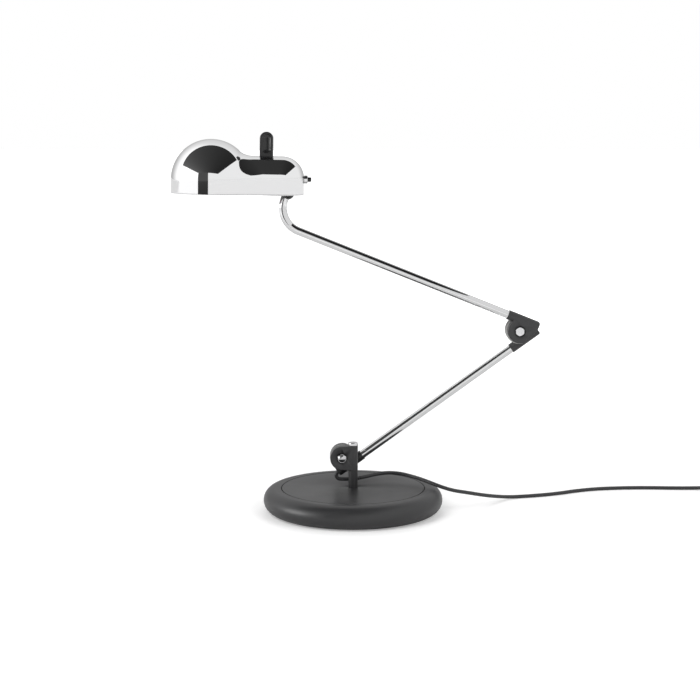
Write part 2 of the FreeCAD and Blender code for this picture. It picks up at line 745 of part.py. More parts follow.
def bracket_and_cover(screws):
    inner = two_lobes(shade_wall + fixed_gap, 0)
    bottom = ball_centre.z + socket_height
    top = bottom + bracket_thickness
    front = ball_centre.x - bracket_front - bracket_thickness
    behind = ball_centre.x + socket_radius
    wide = lobe_radius
    plate = inner.common(block(V(front, -wide, bottom), V(behind, wide, top)))
    walls = inner.cut(two_lobes(shade_wall + fixed_gap + bracket_thickness, 0))
    flange_front = V(lobe_centre.x - bracket_flange_front - bracket_flange_front, -wide, bottom)
    flange_room = block(flange_front, V(lobe_centre.x, wide, top + bracket_flange_height))
    flange_room = flange_room.cut(block(V(flange_front.x, -wide / 2, bottom), V(lobe_centre.x, wide / 2, top
                                        + bracket_flange_height)))
    tab = block(V(front, -bracket_tab_half_width, bottom),
                V(front + bracket_thickness, bracket_tab_half_width, top + bracket_tab_height))
    bracket = plate.fuse([walls.common(flange_room), tab]).removeSplitter()
    bracket = bracket.cut(cylinder(bracket_hole_radius, V(ball_centre.x, 0, bottom - overrun),
                                   V(ball_centre.x, 0, top + overrun)))
    holder_axis = V(front, 0, ball_centre.z + holder_height)
    bracket = bracket.cut(cylinder(holder_body_radius + fixed_gap, holder_axis - V(overrun, 0, 0),
                                   holder_axis + V(bracket_thickness + overrun, 0, 0)))
    for screw in screws:
        hub = screw.Solids[0].BoundBox.Center
        bracket = bracket.cut(cylinder(bracket_screw_radius + running_gap,
                                       V(hub.x, hub.y, bottom - overrun),
                                       V(hub.x, hub.y, top + overrun)))

    cover_bottom = rim_level + cover_lift
    cover_top = cover_bottom + cover_thickness
    cover = two_lobes(shade_wall + soft_gap, 0).common(
        block(V(front, -dome_radius, cover_bottom), V(lobe_centre.x + lobe_radius, dome_radius, cover_top)))
    cover = cover.cut(cylinder(cover_hole_radius, V(ball_centre.x, 0, rim_level),
                               V(ball_centre.x, 0, cover_top + overrun)))
    fasteners = []
    for side in (-cover_screw_side, cover_screw_side):
        x = ball_centre.x - cover_screw_ahead
        shank_foot = V(x, side, cover_bottom)
        cover = cover.cut(cylinder(cover_screw_radius + running_gap, shank_foot, V(x, side, cover_top)))
        bracket = bracket.cut(cylinder(cover_screw_radius + fixed_gap, V(x, side, bottom), V(x, side, top)))
        head = cylinder(cover_screw_head_radius, shank_foot - up * cover_screw_head_height, shank_foot)
        shank = cylinder(cover_screw_radius, shank_foot, V(x, side, top))
        fasteners.append(head.fuse(shank).removeSplitter())
    save("head_bracket", about_ball(bracket))
    save("rear_cover", about_ball(cover))
    save("cover_screws", about_ball(Part.makeCompound(fasteners)))
    return holder_axis


# Lampholder, bulb and terminal block
def lamp_and_wiring(tab_face):
    ahead = V(-1, 0, 0)
    rear = tab_face - ahead * holder_body_length
    lip = tab_face + ahead * holder_skirt_length
    holder = cylinder(holder_skirt_radius, tab_face, lip).fuse(cylinder(holder_body_radius, rear, tab_face))
    cap_foot = lip - ahead * bulb_cap_in_holder
    holder = holder.removeSplitter().cut(cylinder(bulb_cap_radius + running_gap, cap_foot,
                                                  lip + ahead * overrun))
    save("lampholder", about_ball(holder))
    cap_end = cap_foot + ahead * bulb_cap_length
    save("bulb_cap", about_ball(cylinder(bulb_cap_radius, cap_foot, cap_end)))
    globe = cap_end + ahead * (bulb_glass_length - bulb_radius)
    neck_end = cap_end + ahead * bulb_cap_radius
    neck_length = (globe - cap_end).Length

    def bulb(inset):
        cone = Part.makeCone(bulb_cap_radius - inset, bulb_radius * bulb_neck_share - inset,
                             neck_length, cap_end, ahead)
        return Part.makeSphere(bulb_radius - inset, globe).fuse(cone)

    glass = bulb(0).cut(bulb(bulb_wall)).cut(cylinder(bulb_cap_radius - bulb_wall, cap_end, neck_end))
    save("bulb_glass", about_ball(glass.removeSplitter()))

    seat = ball_centre.z + socket_height + bracket_thickness
    block_back = ball_centre.x - block_ahead_of_ball
    block_front = block_back - block_length
    block_low = V(block_front, -block_side - block_width, seat)
    save("terminal_block", about_ball(block(block_low, V(block_back, -block_side, seat + block_height))))

    low = seat + block_height / 2
    near_y = -block_side - block_width / 3
    side = -holder_body_radius / 2
    wires = []
    for way in (-1, 1):
        x = (block_back + block_front - way * head_wire_spread) / 2
        height = rear.z + way * head_wire_spread / 2
        wires.append([V(x, near_y, seat + block_height), V(x, near_y, height),
                      V(x, side, height), V(rear.x, side, height)])
    switch_back = switch_point(switch_body_setback() + switch_body_length)
    turn_x = (block_back + switch_back.x) / 2
    wires.append([V(block_back, near_y, low), V(turn_x, near_y, low),
                  V(turn_x, -head_wire_spread / 2, switch_back.z),
                  V(switch_back.x, -head_wire_spread / 2, switch_back.z)])
    save("head_wires", about_ball(Part.makeCompound(
        [swept(head_wire_radius, rounded_path(w, [head_wire_bend] * 2)) for w in wires])))


# Grip
def grip():
    half = grip_width / 2
    x = ball_centre.x - grip_ahead_of_ball
    top = ball_centre.z + grip_top_above_ball
    foot = lobe_centre.z
    front = -grip_thickness / 2
    hub = V(x, front, top - half)
    outline = Part.Wire([
        line(V(x - half, front, foot), V(x - half, front, hub.z)),
        arc_by(V(x - half, front, hub.z), V(x, front, top), V(x + half, front, hub.z)),
        line(V(x + half, front, hub.z), V(x + half, front, foot)),
        line(V(x + half, front, foot), V(x - half, front, foot)),
    ])
    tab = Part.Face(outline).extrude(depth * grip_thickness)
    rims = [e for e in tab.Edges if e.BoundBox.YLength < fixed_gap and e.BoundBox.ZMax > foot + half]
    tab = tab.makeFillet(grip_edge_round, rims)
    reach = scoop_radius - scoop_depth
    scoop_end = math.sqrt(scoop_radius * scoop_radius - reach * reach)
    scoop_top = top - scoop_top_margin - scoop_end
    scoop_foot = scoop_top - scoop_length + 2 * scoop_end
    for side in (-1, 1):
        y = side * (grip_thickness / 2 + reach)
        high = V(x, y, scoop_top)
        low = V(x, y, scoop_foot)
        scoop = cylinder(scoop_radius, low, high).fuse([Part.makeSphere(scoop_radius, high),
                                                        Part.makeSphere(scoop_radius, low)])
        tab = tab.cut(scoop)
    beyond = V(half + overrun, 0, 0)
    saddle = V(x, 0, lobe_centre.z)
    tab = tab.cut(cylinder(lobe_radius, saddle - beyond, saddle + beyond))
    crest = saddle + up * lobe_radius
    inner = lobe_radius - shade_wall
    seat = saddle + up * math.sqrt(inner * inner - grip_screw_head_radius * grip_screw_head_radius)
    screw_end = crest + up * grip_screw_depth
    save("grip_handle", about_ball(tab.cut(cylinder(grip_screw_radius + fixed_gap, saddle, screw_end))))
    screw = cylinder(grip_screw_head_radius, seat - up * grip_screw_head_height, seat)
    screw = screw.fuse(cylinder(grip_screw_radius, seat, screw_end))
    save("grip_screw", about_ball(screw.removeSplitter()))


# Switch
def switch():
    face = switch_point(0)
    out = V(1, 0, 0)
    nut_end = face + out * collar_length
    thread_end = face - out * collar_thread_length
    nut = cylinder(collar_radius, face, nut_end)
    nut = nut.makeFillet(collar_edge_round, [e for e in nut.Edges
                                             if len(e.Vertexes) == 1 and e.BoundBox.XMin > face.x])
    collar = nut.fuse(cylinder(collar_thread_radius, thread_end, face)).removeSplitter()
    bore = button_radius + running_gap
    collar = collar.cut(cylinder(bore, thread_end - out * overrun, nut_end + out * overrun))
    save("switch_collar", about_ball(collar))

    button_end = nut_end + out * button_proud
    button_back = button_end - out * button_length
    button = cylinder(button_radius, button_back, button_end)
    button = button.makeFillet(button_round, [e for e in button.Edges
                                              if len(e.Vertexes) == 1 and e.BoundBox.XMin > nut_end.x])
    save("switch_button", about_ball(button))
    spring_back = button_back - out * spring_length
    save("switch_spring", about_ball(ring(spring_radius, spring_bore, spring_back, button_back)))

    body_front = switch_point(switch_body_setback())
    body_back = body_front - out * switch_body_length
    body = cylinder(switch_body_radius, body_back, body_front)
    body = body.cut(cylinder(bore, spring_back, body_front + out * overrun))
    body = body.cut(cylinder(collar_thread_radius + fixed_gap, thread_end, body_front + out * overrun))
    save("switch_body", about_ball(body))


# Mains cord
coil_inner_radius = coil_middle_radius - coil_layer_turns * coil_turn_pitch / 2
coil_outer_radius = coil_middle_radius + coil_layer_turns * coil_turn_pitch / 2
coil_low = tie_thickness + cord_radius
coil_start = V(coil_centre_x, cord_points[-1].y, coil_low)
coil_centre = coil_start + V(0, coil_outer_radius, 0)


def coil_place(turns):
    """A point of the coil, which spirals in on the table, climbs in half a turn and spirals out."""
    pitch = coil_turn_pitch
    angle = math.radians(coil_start_angle) + 2 * math.pi * turns
    climb = min(max(turns - coil_layer_turns, 0), 1 / 2)
    radius = coil_outer_radius - pitch * min(turns, coil_layer_turns)
    radius -= pitch * (climb - 2 * climb * climb)
    radius += pitch * max(turns - coil_layer_turns - 1 / 2, 0)
    height = coil_turn_pitch * (1 - math.cos(2 * math.pi * climb)) / 2
    return coil_centre + V(radius * math.cos(angle), radius * math.sin(angle), height)


def coil_heading(turns):
    small = 1e-5
    return (coil_place(turns + small) - coil_place(turns - small)).normalize()


def arc_from(start, heading, end):
    """The arc that leaves its start along a heading and reaches its end."""
    chord = end - start
    sideways = chord - heading * chord.dot(heading)
    radius = chord.dot(chord) / (2 * sideways.Length)
    centre = start + sideways.normalize() * radius
    middle_way = ((start + end) * 0.5 - centre).normalize()
    return arc_by(start, centre + middle_way * radius, end)


def biarc(start, heading, end, end_heading):
    """Two arcs that meet smoothly, from one point and heading to another."""
    chord = end - start
    both = heading + end_heading
    bend = 2 * (1 - heading.dot(end_heading))
    reach = (math.sqrt(chord.dot(both) ** 2 + bend * chord.dot(chord)) - chord.dot(both)) / bend
    joint = (start + heading * reach + end - end_heading * reach) * 0.5
    second = arc_from(end, end_heading * -1, joint)
    return [arc_from(start, heading, joint), second]


def least_gap(path, radius):
    """The least gap between turns: points a turn apart, nearer than any on the same stretch."""
    points = path.discretize(Number=1600)
    step = path.Length / len(points)
    skip = int(6 * radius / step)
    least = path.Length
    for i, p in enumerate(points):
        for q in points[i + skip:]:
            least = min(least, (p - q).Length)
    return least - 2 * radius


def report_tube(name, points, radii, path, solid):
    print(name, "radii", [round(r, 1) for r in radii])
    share = solid.Volume / (math.pi * cord_radius ** 2 * path.Length)
    print(name, "length", round(path.Length, 1), "volume over section times length", round(share, 4))


def mains_lead(start):
    meeting = (lead_points[-1] + cord_points[0]) * 0.5
    first = [start, start - lower_along * lead_first_run] + lead_points + [meeting]
    radii = free_radii(first)
    path = rounded_path(first, radii)
    lead = swept(cord_radius, path)
    report_tube("cord_lead", first, radii, path, lead)
    save("cord_lead", lead)

    straight = 2 * cord_radius
    coil_entry = coil_start - V(straight, 0, 0)
    route = [meeting] + cord_points + [coil_entry]
    radii = free_radii(route[:-1])
    route_path = rounded_path(route[:-1], radii)
    route_path = Part.Wire(route_path.Edges + [line(route[-2], route[-1])])
    cord = swept(cord_radius, route_path)
    report_tube("mains_cord", route, radii, route_path, cord)
    save("mains_cord", cord)

    total = 2 * coil_layer_turns + 1 / 2
    breaks = [coil_layer_turns * k / math.ceil(4 * coil_layer_turns)
              for k in range(math.ceil(4 * coil_layer_turns) + 1)]
    second = [coil_layer_turns + 1 / 2 + b for b in breaks]
    stations = breaks + [coil_layer_turns + 1 / 4] + second
    edges = [line(coil_entry, coil_start)]
    heading = V(1, 0, 0)
    for a, b in zip(stations, stations[1:]):
        next_heading = coil_heading(b)
        edges += biarc(coil_place(a) if a > 0 else coil_start, heading, coil_place(b), next_heading)
        heading = next_heading
    coil_end = coil_place(total) + heading * straight
    edges.append(line(coil_place(total), coil_end))
    coil_path = Part.Wire(Part.__sortEdges__(edges))
    coil = swept(cord_radius, coil_path)
    report_tube("cord_coil", stations, [coil_inner_radius], coil_path, coil)
    print("cord_coil least gap to itself", round(least_gap(coil_path, cord_radius), 3))
    save("cord_coil", coil)
    print("whole lead", round(path.Length + route_path.Length + coil_path.Length + relief_length, 1))
    return coil_end, heading


def tie():
    """A flat strap round the bundle of turns."""
    inner_low = coil_inner_radius - cord_radius - tie_gap
    inner_high = coil_outer_radius + cord_radius + tie_gap
    top = coil_low + coil_turn_pitch + cord_radius + tie_gap
    side = tie_width / 2
    strap = block(V(inner_low - tie_thickness, -side, 0),
                  V(inner_high + tie_thickness, side, top + tie_thickness))
    strap = strap.cut(block(V(inner_low, -tie_width, tie_thickness), V(inner_high, tie_width, top)))
    strap.rotate(V(0, 0, 0), up, tie_angle)
    strap.translate(V(coil_centre.x, coil_centre.y, 0))
    save("coil_tie", strap)


def plug(start, heading):
    side = up.cross(heading)
    relief_end = start + heading * relief_length
    relief = Part.makeCone(relief_start_radius, relief_end_radius, relief_length, start, heading)
    save("plug_relief", relief)
    half = plug_body_width / 2
    neck = plug_neck_width / 2
    taper = plug_body_length / 2
    base = V(relief_end.x, relief_end.y, 0)
    corners = [base - side * neck, base + side * neck, base + side * half + heading * taper,
               base + side * half + heading * plug_body_length,
               base - side * half + heading * plug_body_length,
               base - side * half + heading * taper]
    body = Part.Face(Part.makePolygon(corners + corners[:1])).extrude(up * (2 * start.z))
    body = body.makeFillet(plug_edge_round, [e for e in body.Edges if e.BoundBox.ZMax > start.z])
    save("plug_body", body)
    pins = []
    face = relief_end + heading * plug_body_length
    for way in (-plug_pin_spacing / 2, plug_pin_spacing / 2):
        foot = face + side * way
        pin = cylinder(plug_pin_radius, foot, foot + heading * plug_pin_length)
        tip = foot + heading * plug_pin_length
        tips = [e for e in pin.Edges
                if len(e.Vertexes) == 1 and (e.CenterOfMass - tip).Length < plug_pin_radius]
        pins.append(pin.makeFillet(plug_pin_round, tips))
    save("plug_pins", Part.makeCompound(pins))


base()
post()
lower_joint()
cord_exit = lower_arm()
upper_arm()
socket_screws = ball_joint()
shade()
holder_point = bracket_and_cover(socket_screws)
lamp_and_wiring(holder_point)
grip()
switch()
cord_end, cord_heading = mains_lead(cord_exit)
tie()
plug(cord_end, cord_heading)
for label, point in (("lower pivot", lower_pivot), ("elbow pivot", elbow_pivot),
                     ("ball centre", ball_centre), ("cord exit", cord_exit), ("cord end", cord_end)):
    print(label, [round(c, 3) for c in point])
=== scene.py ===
# %% [markdown]
# A desk lamp with two jointed arms
#
# The lamp stands on a heavy round base. A post carries the lower arm, an elbow carries the
# upper arm, and a bright shade turns on a ball at its end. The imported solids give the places
# of everything, and each step below dresses them: it replaces a faceted solid by a smooth
# surface, or gives it a finish.

import json
import math

import bmesh
import bpy
import numpy as np
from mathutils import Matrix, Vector


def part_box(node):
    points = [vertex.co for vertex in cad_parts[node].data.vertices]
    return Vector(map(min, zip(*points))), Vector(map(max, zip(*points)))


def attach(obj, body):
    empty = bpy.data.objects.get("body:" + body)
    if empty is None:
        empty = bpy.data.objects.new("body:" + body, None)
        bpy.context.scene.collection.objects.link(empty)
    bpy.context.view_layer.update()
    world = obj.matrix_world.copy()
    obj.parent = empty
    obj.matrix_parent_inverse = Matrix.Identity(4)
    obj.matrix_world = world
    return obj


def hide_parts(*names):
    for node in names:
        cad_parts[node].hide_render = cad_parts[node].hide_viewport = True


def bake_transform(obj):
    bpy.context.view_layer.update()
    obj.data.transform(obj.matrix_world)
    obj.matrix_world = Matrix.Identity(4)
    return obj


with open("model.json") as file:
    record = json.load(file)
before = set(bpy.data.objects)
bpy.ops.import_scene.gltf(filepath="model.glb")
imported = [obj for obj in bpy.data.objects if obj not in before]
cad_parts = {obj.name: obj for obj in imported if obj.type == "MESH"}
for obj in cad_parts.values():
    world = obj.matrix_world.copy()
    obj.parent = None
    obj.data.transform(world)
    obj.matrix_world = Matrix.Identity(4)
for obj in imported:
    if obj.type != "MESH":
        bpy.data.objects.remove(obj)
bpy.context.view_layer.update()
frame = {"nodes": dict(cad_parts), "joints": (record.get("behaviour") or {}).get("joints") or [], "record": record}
node_body = {n: b for b, ns in frame["record"]["behaviour"]["bodies"].items() for n in ns}
node_slot = {s["node"]: s["material_slot"] for s in frame["record"]["subparts"]}
joint = {j["name"]: j for j in frame["joints"]}

# %% [markdown]
# The camera comes first, since everything is judged through it. It stands about two metres
# away at head height and looks down by eight degrees, with a long lens, so the lamp shows
# hardly any perspective.

# %% Camera
camera_place = (-0.0041, -2.0603, 0.5098)
camera_pitch = 8.01
camera_lens = 80.0


def add_object(name, data):
    """An object in the scene's collection, at the origin."""
    thing = bpy.data.objects.new(name, data)
    bpy.context.scene.collection.objects.link(thing)
    return thing


camera = add_object("camera", bpy.data.cameras.new("camera"))
camera.location = camera_place
camera.rotation_euler = (math.radians(90 - camera_pitch), 0, 0)
camera.data.lens = camera_lens
bpy.context.scene.camera = camera
print("camera at", camera_place)

# %% [markdown]
# Most of the lamp's forms are turned, bent from tube or pressed. All of them can be written as
# a grid of points: rows that follow the form and columns that go round it. One helper turns
# such a grid into a mesh, and closes it where a row shrinks to a point. Further helpers, for
# bars and turned forms, come where they are first needed.


# %% Surfaces from grids
def tidy_mesh(mesh):
    """Drops unused points, turns the faces of the closed surface outwards and shades it smooth."""
    shape = bmesh.new()
    shape.from_mesh(mesh)
    bmesh.ops.delete(shape, geom=[v for v in shape.verts if not v.link_faces], context="VERTS")
    bmesh.ops.recalc_face_normals(shape, faces=shape.faces)
    shape.to_mesh(mesh)
    shape.free()
    mesh.polygons.foreach_set("use_smooth", np.ones(len(mesh.polygons), bool))
    mesh.update()


def surface(name, points, wrap_rows=False):
    """A mesh over a grid of points. Each cell of the grid is one face, the last column meets
    the first, and a row whose points all coincide becomes a single point."""
    rows, columns = points.shape[:2]
    index = np.arange(rows * columns).reshape(rows, columns)
    pole = np.ptp(points, axis=1).max(axis=1) < 1e-9
    index[pole] = index[pole][:, :1]
    below = np.roll(index, -1, axis=0) if wrap_rows else index[1:]
    above = index if wrap_rows else index[:-1]
    quads = np.stack([above, np.roll(above, -1, 1), np.roll(below, -1, 1), below], -1)
    quads = quads.reshape(-1, 4)
    top = quads[:, 0] == quads[:, 1]
    foot = quads[:, 2] == quads[:, 3]
    faces = quads[~top & ~foot].tolist() + quads[top][:, 1:].tolist() + quads[foot][:, :3].tolist()
    mesh = bpy.data.meshes.new(name)
    mesh.from_pydata(points.reshape(-1, 3).tolist(), [], faces)
    tidy_mesh(mesh)
    return add_object(name, mesh)


print("surfaces are shaded smooth and face outwards")

# %% [markdown]
# Every material is a small tree of nodes. One helper adds a node, with its settings and with
# what goes into it: numbers, colours or other nodes' sockets. Most nodes do one sum or map one
# range to another, and those have short helpers of their own.


# %% Node helpers
def bare_material(name):
    """A new material and its node tree."""
    material = bpy.data.materials.new(name)
    material.use_nodes = True
    return material, material.node_tree


def fill(tree, node, values):
    """Fills a node's inputs, by name or number: links another node's socket or sets a value."""
    for name, value in values.items():
        if isinstance(value, bpy.types.NodeSocket):
            tree.links.new(value, node.inputs[name])
        else:
            node.inputs[name].default_value = value


def add_node(tree, kind, values=None, **settings):
    """A new node of a kind, with its settings and its inputs."""
    node = tree.nodes.new("ShaderNode" + kind)
    for name, value in settings.items():
        setattr(node, name, value)
    fill(tree, node, values or {})
    return node


def combine(tree, operation, *values):
    """One node of arithmetic on two or three sockets or numbers."""
    return add_node(tree, "Math", dict(enumerate(values)), operation=operation).outputs[0]


def value_range(tree, source, low, high, first, last, way="LINEAR"):
    """Runs from a first to a last value while the source runs from low to high, and stays
    there beyond."""
    values = {"Value": source, "From Min": low, "From Max": high, "To Min": first, "To Max": last}
    return add_node(tree, "MapRange", values, interpolation_type=way).outputs["Result"]


def smooth_range(tree, source, low, high, first, last):
    """The same, with a soft start and a soft end."""
    return value_range(tree, source, low, high, first, last, "SMOOTHSTEP")


def place_and_axes(tree, space="Object"):
    """The place on a piece, and its three parts by name."""
    place = add_node(tree, "TexCoord").outputs[space]
    return place, add_node(tree, "SeparateXYZ", {0: place}).outputs


print("node helpers ready")

# %% [markdown]
# The studio is plain: a white floor, soft lamps and a white world. The floor is one matt card
# that is large enough to have no edge in any view. The camera has to see it pure white, and
# more light would also fall on the lamp, so it glows a little instead. Bright metal mirrors it
# with a glow of its own, which leaves the shade's skirt grey on the left and white in front.

# %% Floor
floor_half = 40.0
floor_shade, floor_rough, floor_gloss = 0.82, 0.9, 0.1
floor_lift_span = (0.5, 2.4)
floor_lift, floor_lift_far = 0.31, 1.0
mirrored_lift, mirrored_lift_far = 0.0, 0.5
mirrored_left_span, mirrored_back_span = (-1.0, -4.0), (6.5, 2.0)
mirrored_back_left, mirrored_front_left = -0.1, 0.22


def card(name, corners, material):
    """A flat four-cornered card of the studio."""
    mesh = bpy.data.meshes.new(name)
    mesh.from_pydata(corners, [], [range(len(corners))])
    mesh.materials.append(material)
    piece = add_object(name, mesh)
    return piece


def floor_material():
    """Matt white that takes shadows. What the camera sees is lifted to pure white by a glow that
    grows with distance, and what bright surfaces see is lifted less, apart from the left."""
    material, tree = bare_material("floor_white")
    path = add_node(tree, "LightPath").outputs
    place, axes = place_and_axes(tree)
    reach = add_node(tree, "VectorMath", {0: place}, operation="LENGTH").outputs["Value"]
    seen = combine(tree, "MAXIMUM", path["Is Camera Ray"], path["Is Transmission Ray"])
    plain = smooth_range(tree, reach, *floor_lift_span, floor_lift, floor_lift_far)
    mirrored = smooth_range(tree, reach, *floor_lift_span, mirrored_lift, mirrored_lift_far)
    left = smooth_range(tree, axes["X"], *mirrored_left_span, 0.0, 1.0)
    front = smooth_range(tree, axes["Y"], *mirrored_back_span, mirrored_back_left,
                         mirrored_front_left)
    mirrored = combine(tree, "ADD", mirrored, combine(tree, "MULTIPLY", left, front))
    lift = combine(tree, "ADD", combine(tree, "MULTIPLY", seen, plain),
                   combine(tree, "MULTIPLY", path["Is Glossy Ray"], mirrored))
    fill(tree, tree.nodes["Principled BSDF"], {
        "Base Color": (floor_shade, floor_shade, floor_shade, 1), "Roughness": floor_rough,
        "Specular IOR Level": floor_gloss, "Emission Color": (1, 1, 1, 1),
        "Emission Strength": lift})
    return material


card("floor", [(-floor_half, -floor_half, 0), (floor_half, -floor_half, 0),
               (floor_half, floor_half, 0), (-floor_half, floor_half, 0)], floor_material())
print("floor", 2 * floor_half, "metres wide")

# %% [markdown]
# Bright metal shows what stands round it, so the shade needs a studio with some contrast, as in
# a light tent with a black roof and an open slot at its front. The roof and the slot are dark
# cards that are seen in reflections only, and everything keeps its even light.

# %% Roof and slot
roof_height = 1.0
roof_corners = [(-1.31, 0.15), (0.53, 0.27), (0.53, -1.6), (-1.08, -1.33)]
roof_span, roof_shades = (0.5, -1.3), (0.02, 0.14)
slot_left, slot_right, slot_front, slot_top = -1.09, -0.29, -1.4, 1.12
slot_span, slot_shades = (0.36, 0.44), (0.03, 0.075)


def dark_cloth_material(name, axis, low, high, first, last):
    """A dark cloth that shows its own shade, whatever light falls on it. It grows paler along
    one axis, with the square of the way."""
    material, tree = bare_material(name)
    tree.nodes.clear()
    way = value_range(tree, place_and_axes(tree)[1][axis], low, high, 0.0, 1.0)
    pale = combine(tree, "MULTIPLY", combine(tree, "POWER", way, 2.0), last - first)
    glow = add_node(tree, "Emission", {
        "Color": (1, 1, 1, 1), "Strength": combine(tree, "ADD", pale, first)})
    add_node(tree, "OutputMaterial", {"Surface": glow.outputs[0]})
    return material


roof = card("roof", [(x, y, roof_height) for x, y in roof_corners],
            dark_cloth_material("roof_cloth", "X", *roof_span, *roof_shades))
slot = card("slot", [(slot_left, slot_front, 0), (slot_right, slot_front, 0),
                     (slot_right, slot_front, slot_top), (slot_left, slot_front, slot_top)],
            dark_cloth_material("slot_cloth", "Z", *slot_span, *slot_shades))
for piece in (roof, slot):
    piece.visible_camera = False
    piece.visible_diffuse = False
    piece.visible_shadow = False
    piece.visible_transmission = False
print("roof at", roof_height)

# %% [markdown]
# The world plays three parts. The camera sees it white, it lights the lamp softly, and bright
# metal sees the walls of a tent in it, with one strong light box on the left.

# %% World
world_soft = 0.42
world_left, world_right, left_wall_span = 1.25, 0.9, (-0.56, 0.0)
world_back_low, world_back, back_rise_span = 0.5, 0.72, (0.15, 0.6)
back_wall_span = (0.2, 0.9)
world_low, low_span = 0.92, (-0.1, 0.14)
left_box = (-0.97, -0.2, 0.12)
left_box_strength, left_box_span = 6.5, (0.93, 0.995)


def mixed(tree, share, first, second):
    """Goes from a first to a second value as the share goes from 0 to 1."""
    values = {"Factor": share, "A": first, "B": second}
    return add_node(tree, "Mix", values).outputs["Result"]


def studio_world():
    """White for the camera, even soft light for the lighting, and for reflections a tent whose
    left wall is brighter than its right and whose back wall is brighter towards the top."""
    world = bpy.data.worlds.new("studio")
    world.use_nodes = True
    tree = world.node_tree
    tree.nodes.clear()
    place, axes = place_and_axes(tree, "Generated")
    side_walls = smooth_range(tree, axes["X"], *left_wall_span, world_left, world_right)
    back_wall = smooth_range(tree, axes["Z"], *back_rise_span, world_back_low, world_back)
    behind = smooth_range(tree, axes["Y"], *back_wall_span, 0.0, 1.0)
    low = smooth_range(tree, axes["Z"], *low_span, world_low, 1.0)
    tent = combine(tree, "MULTIPLY", mixed(tree, behind, side_walls, back_wall), low)
    nearness = add_node(tree, "VectorMath", {0: place, 1: left_box}, operation="DOT_PRODUCT")
    box = smooth_range(tree, nearness.outputs["Value"], *left_box_span, 0.0, left_box_strength)
    path = add_node(tree, "LightPath").outputs
    shown = mixed(tree, path["Is Glossy Ray"], world_soft, combine(tree, "ADD", tent, box))
    clear = combine(tree, "MAXIMUM", path["Is Camera Ray"], path["Is Transmission Ray"])
    glow = add_node(tree, "Background", {
        "Color": (1, 1, 1, 1), "Strength": mixed(tree, clear, shown, 1.0)})
    add_node(tree, "OutputWorld", {"Surface": glow.outputs[0]})
    return world


bpy.context.scene.world = studio_world()
bpy.context.scene.view_settings.view_transform = "Standard"
print("world", bpy.context.scene.world.name)

# %% [markdown]
# Three large square lamps stand in front on the left, in front on the right and behind. They
# give the soft shadow round the base, and they aren't seen in reflections.

# %% Lamps
lamp_aim = (0, 0, 0.2)
lamps = {"key_lamp": ((-1.3, -1.6, 1.9), 1.4, 34), "fill_lamp": ((1.6, -1.2, 1.6), 1.6, 16),
         "back_lamp": ((0.2, 1.8, 2.0), 1.6, 16)}


def softbox(name, place, aim, size, watts):
    """A square lamp that looks at a point."""
    data = bpy.data.lights.new(name, "AREA")
    data.shape = "SQUARE"
    data.size = size
    data.energy = watts
    lamp = add_object(name, data)
    lamp.location = place
    lamp.rotation_euler = (Vector(aim) - Vector(place)).to_track_quat("-Z", "Y").to_euler()
    lamp.visible_glossy = False


for name, (place, size, watts) in lamps.items():
    softbox(name, place, lamp_aim, size, watts)
print("lamps", len(lamps))

# %% [markdown]
# A finish is a Principled BSDF with a little unevenness: moulded and painted faces have
# a fine grain, and polished ones have faint wiping marks. Both effects are node groups, built
# once, which put out masks and values, and every material places them with its own numbers.

# %% Node groups
soft_weight = 0.6
tone_span, tone_swing = (0.3, 1.3), (-0.5, 0.5)
drift_scale, drift_span = 18.0, (0.3, 0.7)
streak_stretch, streak_span = (1.0, 1.0, 0.25), (0.45, 0.75)


def new_group(name, inputs, outputs):
    """A shader node group with named inputs and outputs: its tree, the sockets that bring what
    was put in, and the node that takes what comes out."""
    group = bpy.data.node_groups.new(name, "ShaderNodeTree")
    for socket, kind, value in inputs:
        made = group.interface.new_socket(socket, in_out="INPUT", socket_type=kind)
        made.default_value = value
    for socket, kind in outputs:
        group.interface.new_socket(socket, in_out="OUTPUT", socket_type=kind)
    given, end = group.nodes.new("NodeGroupInput"), group.nodes.new("NodeGroupOutput")
    return group, given.outputs, end


def fine_grain_group():
    """Fine pebbled grain: small cells with soft noise over them, and a slow drift in tone."""
    group, given, end = new_group(
        "fine_grain",
        [("Colour", "NodeSocketColor", (0.1, 0.1, 0.1, 1)), ("Tone", "NodeSocketFloat", 0.1),
         ("Grain", "NodeSocketFloat", 2500.0), ("Smooth", "NodeSocketFloat", 0.4),
         ("Rough", "NodeSocketFloat", 0.5)],
        [("Colour", "NodeSocketColor"), ("Roughness", "NodeSocketFloat"),
         ("Height", "NodeSocketFloat")])
    place = add_node(group, "TexCoord").outputs["Object"]
    cells = add_node(group, "TexVoronoi", {"Vector": place, "Scale": given["Grain"]},
                     feature="SMOOTH_F1").outputs["Distance"]
    soft = add_node(group, "TexNoise", {
        "Vector": place, "Scale": given["Grain"], "Detail": 3.0}).outputs["Fac"]
    drift = add_node(group, "TexNoise", {
        "Vector": place, "Scale": drift_scale, "Detail": 4.0}).outputs["Fac"]
    swing = value_range(group, combine(group, "ADD", drift, cells), *tone_span, *tone_swing)
    tone = combine(group, "MULTIPLY_ADD", swing, given["Tone"], 1.0)
    tint = add_node(group, "VectorMath", {0: given["Colour"], "Scale": tone}, operation="SCALE")
    fill(group, end, {
        "Colour": tint.outputs["Vector"],
        "Roughness": value_range(group, drift, *drift_span, given["Smooth"], given["Rough"]),
        "Height": combine(group, "MULTIPLY_ADD", soft, soft_weight, cells)})
    return group


